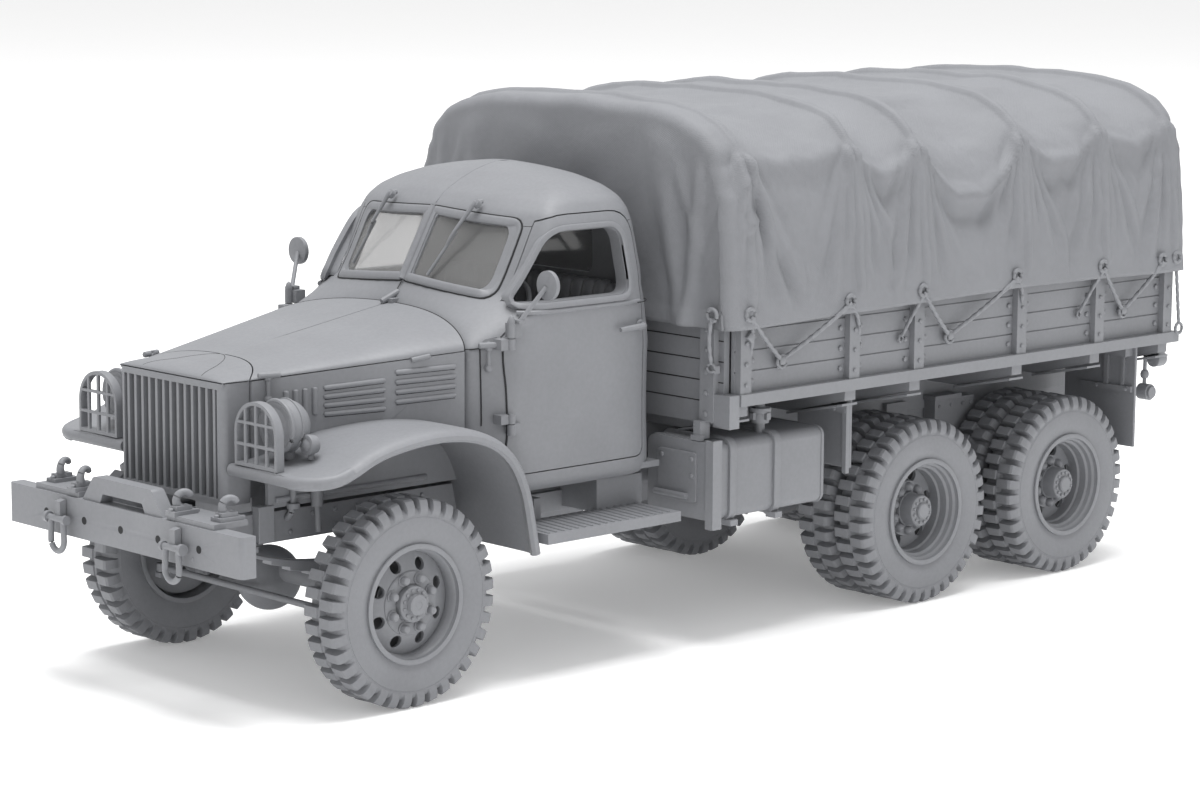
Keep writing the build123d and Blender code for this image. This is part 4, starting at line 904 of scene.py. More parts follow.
def on_front(path, skin):
    """Points (x, any y, z) carried straight back onto the cab's front skin."""
    near = skin.points[(skin.points[:, 1] < 31) & (skin.points[:, 2] > 46)]
    y = nearest_mean(path[:, [0, 2]], near[:, [0, 2]], near[:, 1])
    return np.stack((path[:, 0], y, path[:, 2]), -1)


def on_side(line, skin):
    """Points (y, z) carried straight out onto the cab's left side."""
    near = skin.points[(skin.points[:, 0] > 18.5) & (skin.points[:, 1] < 24) & (skin.points[:, 2] < 49)]
    return np.column_stack((nearest_mean(line, near[:, 1:], near[:, 0]), line))


def apply_modifiers(obj):
    """The object's mesh as its modifiers leave it."""
    graph = bpy.context.evaluated_depsgraph_get()
    mesh = bpy.data.meshes.new_from_object(obj.evaluated_get(graph))
    obj.modifiers.clear()
    obj.data = mesh


def carve(obj, cuts):
    """Cuts an object by shapes or by objects kept for it: rows (operation, shape or object)."""
    tools = []
    for operation, shape in cuts:
        tool = shape
        if isinstance(shape, Shape):
            tool = plain("cutter", shape)
            tools.append(tool)
        cut = obj.modifiers.new("Cut", "BOOLEAN")
        cut.operation = operation
        cut.solver = "EXACT"
        cut.object = tool
    apply_modifiers(obj)
    for tool in tools:
        bpy.data.objects.remove(tool)


def walled(obj, wall):
    """Closed skin turned to a wall of a thickness, inwards."""
    shell = obj.modifiers.new("Wall", "SOLIDIFY")
    shell.thickness = wall
    shell.offset = -1.0
    shell.use_even_offset = False
    apply_modifiers(obj)


def finished(obj, body, nodes, extra=None):
    """A carved object joined with a shape's faces, moved into the frame and set riding."""
    if extra is not None:
        more = rough_mesh("extra", extra)
        work = bmesh.new()
        work.from_mesh(obj.data)
        work.from_mesh(more)
        work.to_mesh(obj.data)
        work.free()
        bpy.data.meshes.remove(more)
    to_frame(obj.data, 32)
    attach(obj, body)
    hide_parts(*nodes)


def drawn_in(outline, gap):
    """Outline rows (u, v, radius) drawn in by a gap towards their middle."""
    rows = np.array(outline, float)
    rows[:, :2] -= gap * np.sign(rows[:, :2] - rows[:, :2].mean(0))
    return rows


# corners of the left windscreen pane: (x, y, z), from the centre post's foot round to its top
SCREEN = np.array([(0, 20.35, 49.9), (15.9, 22.75, 48.7), (15.9, 26.9, 58.6), (0, 25.6, 59.3)])
SCREEN_OUT = unit((0, -0.9, 0.42))
SCREEN_CORNER = 1.9


def screen_path(inset):
    """Closed line round the left pane, set in towards its middle, with rounded outer corners."""
    middle = SCREEN.mean(0)
    points = SCREEN - unit(SCREEN - middle) * inset * 1.35
    size = np.linalg.norm(points[1] - points[0]), np.linalg.norm(points[3] - points[0])
    rows = [(0, 0, 0.7), (size[0], 0, SCREEN_CORNER), (*size, SCREEN_CORNER), (0, size[1], 0.7)]
    flat = closed_evenly(arced(rows, 8), 90) / size
    u, v = flat[:, :1], flat[:, 1:]
    shares = ((1 - u) * (1 - v), u * (1 - v), u * v, (1 - u) * v)
    return sum(share * point for share, point in zip(shares, points))


def plug(path, direction, half):
    """Closed line carried both ways along a direction, as a solid with flat ends."""
    path, direction = np.asarray(path, float), np.asarray(direction, float)
    ends = np.stack((path - direction * half, path + direction * half))
    walls = grid(ends.transpose(1, 0, 2), wrap_u=True)
    ring = np.arange(len(path)) * 2
    return Shape(walls.points, walls.faces + [ring[None, ::-1], ring[None] + 1])


def flattened(path):
    """Line of points brought onto its own best plane."""
    middle = path.mean(0)
    normal = np.linalg.svd(path - middle)[2][2]
    return path - ((path - middle) @ normal)[:, None] * normal


def strip(path, normal, wide, high, sink, inward=True):
    """Moulding along a closed line: a rounded bar, wide across the line and high along a normal."""
    ahead = unit(np.roll(path, -1, 0) - np.roll(path, 1, 0))
    normal = unit(np.broadcast_to(normal, path.shape))
    side = unit(np.cross(ahead, normal))
    middle = path.mean(0)
    side *= -np.sign(((path - middle) * side).sum(-1, keepdims=True)) if inward else 1
    section = np.array([(0, -sink), (0, high * 0.55), (wide * 0.12, high * 0.9), (wide * 0.35, high),
                        (wide * 0.65, high), (wide * 0.9, high * 0.85), (wide, high * 0.5), (wide, -sink)])
    points = path[:, None] + section[None, :, :1] * side[:, None] + section[None, :, 1:] * normal[:, None]
    return grid(points, wrap_u=True, wrap_v=True)


def skin_x(points_yz):
    """Half width of the cab's side at stations and heights, from the same rows as its skin."""
    y, z = np.asarray(points_yz, float).T
    level = CAB_ROWS[:, 0] - CAB_ROWS[:, 1]
    columns = CAB_ROWS[:, [2, 4, 5, 6, 7, 8]].T
    front, wf, width, rear, n_front, n_rear = [np.interp(z, level, column) for column in columns]
    middle = (front + rear) / 2
    share = np.clip(np.abs((y - middle) / ((rear - front) / 2)), 0, 0.999)
    n = np.where(y < middle, n_front, n_rear)
    ahead = smooth(0.62, 1.0, share) * (y < middle)
    return width * (1 - share ** n) ** (1 / n) * (1 + (wf / width - 1) * ahead)


class TRUCK_OT_cab(bpy.types.Operator):
    """Cab shell, roof and doors with their window mouldings, glazing, screen frames and wipers"""
    bl_idname = "truck.cab"
    bl_label = "Cab"

    def execute(self, context):
        skin = cab_skin()
        holes = [self.door_prism(side, 0) for side, _ in SIDES]
        cuts = [("DIFFERENCE", hole) for hole in holes]
        cuts += [("DIFFERENCE", plug(on_front(screen_path(1.15) * (side, 1, 1), skin), SCREEN_OUT, 3.5))
                 for side, _ in SIDES]
        cuts.append(("DIFFERENCE", slab(arced(REAR_WINDOW), 1, 44, 50)))
        whole = plain("cab_shell_skin", skin)
        walled(whole, CAB_WALL)
        carve(whole, cuts)
        roof = linked("cab_roof_skin", whole.data.copy())
        carve(roof, [("INTERSECT", blocks([(-40, 40, 0, 60, ROOF_LINE + ROOF_GAP, 90)]))])
        carve(whole, [("INTERSECT", blocks([(-40, 40, 0, 60, 0, ROOF_LINE - ROOF_GAP)]))])
        floor = blocks([(-21.9, 21.9, 20.6, 47.0, 24.6, 25.4)])
        hinge = self.hinges(((43.1, 44.5), (33.5, 34.7)), -1)
        finished(whole, "chassis", ("cab_shell",), floor + hinge.on_both())
        finished(roof, "chassis", ("cab_roof",))
        extra = self.hinges(((44.6, 46.4), (32.0, 33.4)), 1) + self.door_trim()
        for side, name in SIDES:
            door = plain(f"door_{name}_skin", skin)
            walled(door, DOOR_WALL)
            prism = self.door_prism(side, DOOR_GAP)
            holes.append(prism)
            carve(door, [("INTERSECT", prism), ("DIFFERENCE", slab(arced(DOOR_GLASS), 0, -30, 30))])
            finished(door, f"door_{name}", (f"door_{name}",), extra.sided(side))
        for hole in holes:
            bpy.data.objects.remove(hole)
        self.screens(skin)
        return {"FINISHED"}

    def door_prism(self, side, gap):
        """Solid that cuts out one door, drawn in by a gap, clear of the cowl's top and the screens."""
        outline = arced(drawn_in(DOOR_LINE, gap))
        hole = plain("door_hole", slab(outline, 0, side * (17.2 + gap), side * 30))
        near, far = sorted((side * 16, side * (20.75 + gap)))
        carve(hole, [("DIFFERENCE", blocks([(near, far, 10, 60, 20, 48.5 + gap)]))])
        return hole

    def hinges(self, heights, direction):
        """Hinge leaves and their round knuckles, on the cab or on the door."""
        x, y = HINGE
        near, far = sorted((y + 0.2 * direction, y + 1.8 * direction))
        return joined(tube([(x, y, low), (x, y, top)], 0.55, 16)
                      + blocks([(21.6, x + 0.1, near, far, low, top)])
                      for low, top in heights)

    def door_trim(self):
        """Window moulding, rolled belt line and pull handle of the left door."""
        ring = closed_evenly(arced(DOOR_GLASS, 9), 120)
        path = np.column_stack((skin_x(ring), ring))
        frame_bar = strip(path, (1, 0, 0.28), 0.75, 0.16, 0.9, inward=False)
        middle = ring.mean(0)
        tight = middle + (ring - middle) * 0.985
        sleeve = [np.column_stack((skin_x(ring) - deep, line)) for deep, line in
                  ((0.35, ring), (0.35, tight), (2.3, tight), (2.3, ring))]
        frame_bar = frame_bar + grid(np.stack(sleeve, 1), wrap_u=True, wrap_v=True)
        y = np.linspace(22.6, 43.3, 60)
        line = np.column_stack((y, 0 * y + 47.25))
        belt = tube(np.column_stack((skin_x(line) - 0.12, line)), 0.34, 10)
        lever = [(22.3, 42.9, 44.1), (22.9, 42.9, 44.1), (23.3, 42.6, 44.1), (23.42, 41.8, 44.1),
                 (23.4, 40.0, 44.05), (23.3, 38.3, 43.95)]
        grip = tube(rounded_path(lever, 2, 24), np.interp(np.arange(24), (0, 8, 23), (0.42, 0.42, 0.3)), 10)
        plate = lathe([(22.2, 0), (22.2, 0.75), (22.62, 0.7), (22.66, 0)], 20).at((0, 42.9, 44.1))
        finial = lathe([(-0.1, 0), (-0.1, 0.5), (0.3, 0.55), (0.9, 0.32), (1.2, 0)], 14)
        return belt + grip + plate + finial.stood(UP, (*HINGE, 46.4)) + frame_bar

    def screens(self, skin):
        """Screen frames, the painted shade round them, the centre post, glazing and the two wipers."""
        frame_bar = strip(on_front(screen_path(-0.1), skin), SCREEN_OUT, 1.15, 0.24, 1.3)
        post = on_front(np.linspace(SCREEN[0], SCREEN[3], 24), skin) + (0, -0.1, 0)
        # dark ring round each frame: painted shade in the seam
        seam = on_front(screen_path(-0.2), skin) + SCREEN_OUT * 0.02
        add_trim("screen_frames", frame_bar.on_both() + tube(post, 0.5, 12), crease=50)
        add_seam("screen_seams", "chassis", tube(seam, 0.12, 6, closed=True).on_both())
        pane = flattened(on_front(screen_path(0.95), skin) - SCREEN_OUT * 0.55)
        back = slab(arced(drawn_in(REAR_WINDOW, 0.1)), 1, 46.9, 47.2)
        crown = CAB_ROWS[16:]
        path = np.concatenate((crown[:, (2, 0)], crown[::-1][:, (6, 0)]))
        add_trim("roof_seam", tube(rounded_path(np.insert(path, 0, 0, axis=1), 1, 60), 0.05, 6))
        add_piece("glazing", "chassis", plug(pane, SCREEN_OUT, 0.13).on_both() + back, FINISHES["clear"],
                  ("cab_glass",))
        add_trim("wipers", joined(self.wiper(*ends) for ends in ((-8.9, -13.0), (8.7, 4.2))))

    def wiper(self, x0, x1):
        """Arm, blade and knob of one wiper, from its pivot above the screen down across the glass."""
        top = np.array((x0, 25.5 + 0.05 * abs(x0), 60.3))
        low = np.array((x1, 20.9 + 0.16 * abs(x1), 50.8))
        arm = np.stack((top + (0, 0.9, 0.2), top + (0, -0.35, 0.15), 0.6 * top + 0.4 * low + (0, -0.75, 0),
                        0.45 * top + 0.55 * low + (0, -0.6, 0)))
        blade = np.stack((0.62 * top + 0.38 * low + (0, -0.35, 0), low + (0, -0.35, 0)))
        knob = lathe([(-0.3, 0), (-0.3, 0.62), (0.35, 0.55), (0.45, 0)], 14).stood((0, -0.8, 0.5), top)
        return tube(evenly(arm, 20), np.linspace(0.34, 0.2, 20), 8) + tube(blade, 0.22, 8) + knob


# ---- Hood ----
HOOD_FRONT = -17.5
HOOD_SPLIT = 0.06
HOOD_OUT = np.array((0.952, -0.307, 0))
# stations at which the hood's heights and half width are given
HOOD_STATIONS = (-17.6, -13.4, 14.1, 18.3)
# height on the centre line at the axle, rise per millimetre back, rise per millimetre out
SWING_SLOPE = (44.1, 0.16424, 0.45)
LATCH_TALL, LATCH_WIDE = 2.7, 3.0
# rows (front, rear, heights of the lowest and highest louvre at its front end, the same at its rear end)
LOUVRES = ((-4.3, 3.7, 36.2, 39.5, 36.4, 40.0), (4.9, 12.9, 37.1, 40.9, 37.5, 41.2))


def hood_height(x_share, y):
    """Hood's surface: z = side + rise * (1 - X^p)^(1/q), rolled down over the nose's last millimetres."""
    side = np.interp(y, HOOD_STATIONS, (41.05, 41.05, 43.12, 43.4))
    top = np.interp(y, HOOD_STATIONS, (41.8, 42.15, 46.45, 47.1))
    roll = np.clip((-14.6 - y) / 2.9, 0, 1)
    rise = (top - side) * (1 - roll ** 2.6) ** (1 / 2.6)
    return side + rise * (1 - np.clip(np.abs(x_share), 0, 1) ** 2.7) ** (1 / 2.1)


def hood_half(y):
    """Hood's half width at its side seam."""
    return np.interp(y, HOOD_STATIONS, (10.9, 11.2, 20.0, 20.4))


def hood_rear(x_share):
    """Station of the hood's rear edge: it bows back from the side seam to the centre line."""
    return 18.2 - 4.25 * np.clip(np.abs(x_share), 0, 1) ** 2


def nose_line(x_share):
    """Station of the nose's rear edge: its sides curve forward from the peak on the centre line."""
    return -9.4 - 4.1 * np.clip(np.abs(x_share), 0, 1) ** 2.6


def hood_leaf():
    """Left leaf of the hood, from the nose's rear edge back to the cowl. It stays under the slope that lets
    it swing about the centre hinge."""
    share = np.sin(np.linspace(0, math.pi / 2, 60))[None]
    front = nose_line(share) + NOSE_GAP
    y = front + np.linspace(0, 1, 90)[:, None] * (hood_rear(share) - front)
    x = np.maximum(share * hood_half(y), HOOD_SPLIT)
    ceiling = SWING_SLOPE[0] + SWING_SLOPE[1] * y + SWING_SLOPE[2] * x
    return grid(np.stack((x, y, np.minimum(hood_height(share, y), ceiling)), -1))


def side_point(y, z, out=0.0):
    """Point on the hood's upright left side."""
    y = np.asarray(y, float)
    return np.stack(np.broadcast_arrays(hood_half(y) + HOOD_OUT[0] * out, y + HOOD_OUT[1] * out, z), -1)


def bar_between(start, end, radius):
    """Half-sunk bar with tapered ends between two points."""
    t = np.array((0, 0.015, 0.05, 0.95, 0.985, 1))[:, None]
    path = np.asarray(start) + t * (np.asarray(end) - np.asarray(start))
    return tube(path, radius * np.array((0.25, 0.75, 1, 1, 0.75, 0.25)), 10)


def latch(place, out):
    """T-shaped hood latch: a cross bar, the rod below it and its two feet."""
    place = np.asarray(place, float)
    along = unit(np.cross((0, 0, 1), out)) * LATCH_WIDE / 2
    high = place + 0.25 * np.asarray(out) + (0, 0, 0.35)
    low = place - (0, 0, LATCH_TALL)
    rod = tube((place + (0, 0, 0.75), low), 0.27, 10)
    foot = lathe([(-0.3, 0), (-0.3, 0.5), (0.22, 0.46), (0.4, 0.25), (0.42, 0)], 14)
    return bar_between(high - along, high + along, 0.4) + rod + foot.stood(out, low) + foot.stood(out, place)


class TRUCK_OT_hood(bpy.types.Operator):
    """Two hood leaves, the nose in front of them, side louvres, latches, and dark lines painted as the shade
    in the seams
    """
    bl_idname = "truck.hood"
    bl_label = "Hood"

    def execute(self, context):
        leaf = hood_leaf()
        for side, name in SIDES:
            self.panel(f"hood_{name}_skin", leaf.sided(side), f"hood_{name}", f"hood_{name}")
        share = np.sin(np.linspace(-math.pi / 2, math.pi / 2, 110))[None]
        t = np.linspace(0, 1, 40)[:, None] ** 1.5
        y = HOOD_FRONT + t * (nose_line(share) - NOSE_GAP - HOOD_FRONT)
        nose = grid(np.stack((share * hood_half(y), y, hood_height(share, y)), -1))
        self.panel("hood_nose_skin", nose, "chassis", "hood_nose")
        # dark lines painted as the shade in the nose's seams
        t = np.linspace(0, 1, 40)
        y = -9.5 - 8.0 * t ** 1.7
        add_seam("nose_seams", "chassis", joined(
            tube(np.column_stack((share * hood_half(y), y, hood_height(share, y) - 0.02)), 0.05, 6)
            for share in (0.58 * t, -0.58 * t)))
        self.side_details(cab_skin())
        return {"FINISHED"}

    def panel(self, name, sheet, body, node):
        """An open sheet turned up, given its wall and set riding."""
        obj = plain(name, sheet)
        self.orient(obj)
        walled(obj, HOOD_WALL)
        finished(obj, body, (node,))

    def side_details(self, skin):
        """Louvres, ribs, latches and bolts of the hood's sides and the cowl, and dark lines painted as the
        shade in the seams and under the louvres.
        """
        parts, dark = [], []
        for y0, y1, low, high, low2, high2 in LOUVRES:
            for k in range(4):
                z0, z1 = low + (high - low) * k / 3, low2 + (high2 - low2) * k / 3
                parts.append(bar_between(side_point(y0, z0, 0.02), side_point(y1, z1, 0.02), 0.36))
                shadow = side_point(np.array((y0 + 0.2, y1 - 0.2)), np.array((z0, z1)) - 0.36)
                dark.append(tube(shadow, 0.07, 6))
        for k in range(4):
            y, rise = -9.0 + 1.2 * k, 0.08 * k
            foot, head = side_point(y, 35.9 + rise, 0.02), side_point(y, 39.5 + rise, 0.02)
            parts.append(bar_between(foot, head, 0.38))
        parts.append(latch(side_point(-11.3, 41.3, 0.35), HOOD_OUT))
        parts.append(latch((21.35, 16.9, 43.4), (0.93, -0.36, 0)))
        parts.append(tube(side_point(np.array((7.0, 9.4)), np.array((42.35, 42.75)), 0.15), 0.34, 8))
        plate = arced([(16.55, 43.3, 0.2), (19.1, 43.6, 0.2), (19.1, 44.6, 0.3), (16.9, 44.2, 0.6)])
        parts.append(plug(on_side(plate, skin) + (0.04, -0.02, 0), (0.95, -0.3, 0), 0.14))
        parts.append(heads([(21.9, 18.3, 44.3)], (0.95, -0.3, 0), 0.3, 0.25, 10))
        # dark lines along the cowl's edges and the hood's rear edge: painted shade in their seams
        edges = ([(14.3, 43.0), (16.6, 43.25), (19.1, 43.5)], [(16.3, 43.1), (16.3, 33.2)],
                 [(19.3, 27.0), (19.3, 42.6)])
        dark += [tube(on_side(evenly(edge, 24), skin) + (0.09, -0.03, 0.03), SHADE_BAR_RADIUS, 6) for edge in edges]
        line = evenly([(45.2, 47.25), (47.2, 47.1)], 24)
        dark.append(tube(np.column_stack((skin_x(line) + 0.05, line)), SHADE_BAR_RADIUS, 6))
        share = np.sin(np.linspace(0, math.pi / 2, 50))
        y = hood_rear(share) + 0.1
        dark.append(tube(np.column_stack((share * hood_half(y), y, hood_height(share, y) - 0.02)), 0.07, 6))
        x = 22.4 * np.sin(np.linspace(0, 1.42, 60))
        y = 33.05 + 14.45 * (1 - (x / 22.4) ** 6.3) ** (1 / 6.3)
        dark.append(tube(np.column_stack((x, y, np.full(60, 47.1))), 0.06, 6))
        post = tube([(0, 18.6, 47.15), (0, 19.2, 48.3), (0, 20.3, 49.7)], 0.05, 6)
        bracket = tube([(-0.2, 17.0, 47.2), (0.2, 19.6, 48.4)], 0.42, 10)
        bracket += blocks([(-1.1, 1.1, 17.7, 18.9, 46.9, 47.65)])
        add_trim("hood_side_fittings", joined(parts).on_both() + bracket, bevel=0.05)
        add_seam("cowl_seams", "chassis", joined(dark).on_both() + post)

    def orient(self, obj):
        """Turns an open sheet's faces up."""
        normals = np.zeros(len(obj.data.polygons) * 3)
        obj.data.polygons.foreach_get("normal", normals)
        if normals.reshape(-1, 3)[:, 2].sum() < 0:
            obj.data.flip_normals()


# ---- Fenders, lamps and bumper ----
FENDER_LINE = [(-16.95, 30.95), (-14.5, 31.1), (-11.5, 31.6), (-6.8, 33.8), (-0.4, 34.85),
               (4.5, 35.0), (9.4, 34.4), (13.6, 32.7), (16.6, 29.9), (18.6, 25.8), (19.5, 21.4), (20.3, 17.3)]
# rows (x, distance above the line): the fender's section from its inner edge round the rolled lip and back
FENDER_SECTION = np.array([(11.2, 0.0), (20.0, 0.12), (25.0, 0.12), (26.9, 0.05), (27.7, -0.15),
                           (28.15, -0.5), (28.3, -0.95), (28.15, -1.35), (27.8, -1.58), (27.35, -1.55),
                           (27.05, -1.3), (26.8, -0.98), (25.0, -0.8), (11.2, -0.85)])
BUMPER_FACE = -25.4
LAMP = (16.7, -12.6, 36.0)
SIDE_LAMP = (20.2, -11.1, 33.9)
WING_CORNER = 4.6
# stations across the bumper, and the height, of the dark discs painted as the shade of the holes in its face
BUMPER_HOLE_SHADES = [(x, BUMPER_FACE, 22.1) for x in (-16.3, -7.9, 0, 7.9, 16.3)]


def fender():
    """Left fender: its section carried along the fender line, drawn in round the front corner's radius."""
    line = rounded_path(FENDER_LINE, 3, 170)
    ahead = unit(np.gradient(line, axis=0))
    up = np.stack((-ahead[:, 1], ahead[:, 0]), -1)
    section = rounded_path(FENDER_SECTION, 1, 64)
    short = np.clip(WING_CORNER - run_of(line), 0, WING_CORNER)
    inset = WING_CORNER - np.sqrt(WING_CORNER ** 2 - short ** 2 + 1e-9)
    share = smooth(14.0, 26.8, section[:, 0])
    x = section[None, :, 0] - inset[:, None] * share[None]
    off = section[None, :, 1] * (1 + 0 * x)
    y = line[:, None, 0] + off * up[:, None, 0]
    z = line[:, None, 1] + off * up[:, None, 1]
    return capped(grid(np.stack((x, y, z), -1), wrap_v=True), len(section))


class TRUCK_OT_front(bpy.types.Operator):
    """Fenders with their rolled lips and liners, lamp rims, tow hooks, and dark discs painted as the shade of
    the holes in the bumper
    """
    bl_idname = "truck.front"
    bl_label = "Fenders and lamps"

    def execute(self, context):
        liner = slab([(-13.0, 25.2), (18.0, 25.2), (16.9, 28.4), (13.3, 31.7), (9.1, 33.4), (4.5, 34.0),
                      (-0.4, 33.9), (-6.6, 32.9), (-11.3, 30.7), (-13.0, 30.5)], 0, 13.4, 14.0)
        a = np.linspace(0, math.pi / 2, 24)
        middle = 27.5 - WING_CORNER
        turn = np.stack((middle + WING_CORNER * np.sin(a), -16.5 + WING_CORNER * (1 - np.cos(a)), 0 * a), -1)
        edge = evenly(np.concatenate(([(11.3, -16.5, 0)], turn, [(27.5, -10.6, 0)])), 90)
        line = rounded(FENDER_LINE, 3, closed=False)[:40]
        edge[:, 2] = np.interp(edge[:, 1], line[:, 0], line[:, 1]) - 0.72
        wing = fender() + liner + tube(edge, np.interp(np.arange(90), (0, 70, 89), (0.8, 0.8, 0.72)), 16)
        for side, name in SIDES:
            add_trim(f"fender_{name}_skin", wing.sided(side), (f"fender_{name}",), crease=40)
        x, y, z = LAMP
        parts = hoop((x, y - 1.0, z), FRONT, 3.15, 0.36, 44) + hoop((x, y + 0.5, z), FRONT, 3.28, 0.16, 44)
        parts += lathe([(0, 2.9), (0.5, 2.4), (0.85, 1.4), (1.0, 0)], 36).stood(FRONT, (x, y - 0.9, z))
        parts += lathe([(-0.6, 0), (-0.6, 1.1), (0.35, 1.32), (0.75, 1.3), (0.85, 1.1), (0.8, 0.85),
                        (0.95, 0.5), (1.05, 0)], 30).stood(FRONT, SIDE_LAMP)
        bolts = heads([(15.0, -25.3, 20.7), (-15.0, -25.3, 20.7)], FRONT, 0.3, 0.2, 10)
        add_trim("lamp_rims", parts.on_both() + bolts, crease=40)
        add_trim("tow_hooks", self.tow_gear().on_both(), ("tow_fittings",), crease=40)
        # dark discs on the bumper's face: painted shade standing for its holes
        hole = lathe([(-0.05, 0), (-0.05, 0.5), (0.03, 0.5), (0.03, 0)], 20).stood(FRONT)
        add_seam("bumper_hole_shade", "chassis", hole.repeated(BUMPER_HOLE_SHADES))
        return {"FINISHED"}

    def tow_gear(self):
        """Left tow plate with its two open hooks on stepped feet, and the shackle on the bumper's face."""
        face, top = BUMPER_FACE, 24.8
        parts = blocks([(9.4, 19.0, face + 0.3, face + 5.4, top, top + 0.7)])
        a = np.radians(np.linspace(28, 252, 40))
        for x, y in ((10.6, -23.3), (17.6, -21.6)):
            curl = np.column_stack((x + 0.35 * np.cos(a), y + 0.95 * np.cos(a),
                                    top + 2.35 + 1.05 * np.sin(a)))
            parts += tube(curl, np.interp(np.arange(40), (0, 3, 10, 39), (0.34, 0.44, 0.42, 0.6)), 14)
            parts += blocks([(x - 1.0, x + 1.0, y - 2.2, y + 1.4, top + 0.6, top + 1.2),
                             (x - 0.65, x + 0.65, y - 1.7, y + 0.7, top + 1.1, top + 1.75)])
            parts += heads([(x - 0.1, y - 1.95, top + 1.15), (x, y + 1.9, top + 0.65)], UP, 0.34, 0.4, 8)
        x, y = 12.3, face - 1.1
        eye = plug(np.array([(0, -1.15, 24.1), (0, -1.15, 21.4), (0, -0.2, 21.2), (0, -0.2, 24.3)])
                   + (x, face + 0.1, 0), OUT, 0.55)
        pin = tube([(x - 1.9, y, 21.9), (x + 2.1, y, 21.9)], 0.42, 14)
        ends = tube([(x + 1.75, y, 21.9), (x + 2.35, y, 21.9)], 0.72, 16)
        ends += tube([(x - 2.1, y, 21.9), (x - 1.6, y, 21.9)], 0.62, 16)
        a = np.linspace(0, math.pi, 28)
        round_end = np.column_stack((x - 1.45 * np.cos(a), np.full(28, y), 19.2 - 1.5 * np.sin(a)))
        bow = np.concatenate(([(x - 1.3, y, 22.1)], round_end, [(x + 1.3, y, 22.1)]))
        return parts + eye + pin + ends + tube(bow, 0.4, 14)


# ---- Inside of the cab ----
# the seat's channels and their depth
CHANNELS, CHANNEL_DEPTH = 16, 0.5


def cushion(middle, half):
    """Stuffed cushion: a superellipse Y^4 + Z^4 = 1 carried across the cab, rounded off at its two ends and
    drawn in along its channels by depth * (1 - |sin|^0.6)."""
    u = np.linspace(-1, 1, 257)[:, None]
    a = np.linspace(0, 2 * math.pi, 49)[None, :-1]
    end = (1 - np.abs(u) ** 14) ** (1 / 4)
    groove = CHANNEL_DEPTH * (1 - np.abs(np.sin(CHANNELS * math.pi * (u + 1) / 2)) ** 0.6)
    y = middle[1] + signed_power(np.cos(a), 0.5) * (half[1] * (0.35 + 0.65 * end) - groove)
    z = middle[2] + signed_power(np.sin(a), 0.5) * (half[2] * (0.6 + 0.4 * end) - groove)
    return capped(grid(np.stack((middle[0] + half[0] * u + 0 * a, y, z), -1), wrap_v=True), a.shape[1])


class TRUCK_OT_seat(bpy.types.Operator):
    """Bench seat: a channelled cushion and back"""
    bl_idname = "truck.seat"
    bl_label = "Seat"

    def execute(self, context):
        rows = (("seat_cushion", (0, 36.2, 33.0), (17.6, 5.4, 2.2)),
                ("seat_back", (0, 43.8, 40.3), (17.6, 1.85, 9.1)))
        for name, middle, half in rows:
            obj = add_piece(name, "chassis", cushion(middle, half), FINISHES["seat"], ("bench_seat",),
                            crease=60)
        return {"FINISHED"}


# ---- Bed, tank and running boards ----
STAKES = np.array((52.8, 74.2, 87.6, 110.0, 128.0, 144.5))
PLANKS = (36.2, 39.0, 41.8, 44.6)
BOARD_TOP = 19.6
# station of the tailgate's outer face
GATE_BACK = 148.7


def band(outline, y0, y1, thick):
    """Flat strap round a closed outline (x, z), between two stations."""
    outline = np.asarray(outline, float)
    ahead = unit(np.roll(outline, -1, 0) - np.roll(outline, 1, 0))
    out = np.stack((ahead[:, 1], -ahead[:, 0]), -1)
    low, high = outline - 0.1 * out, outline + thick * out
    rows = ((low, y0), (low, y1), (high, y1), (high, y0))
    points = [np.column_stack((line[:, 0], np.full(len(line), y), line[:, 1])) for line, y in rows]
    return grid(np.stack(points, 1), wrap_u=True, wrap_v=True)


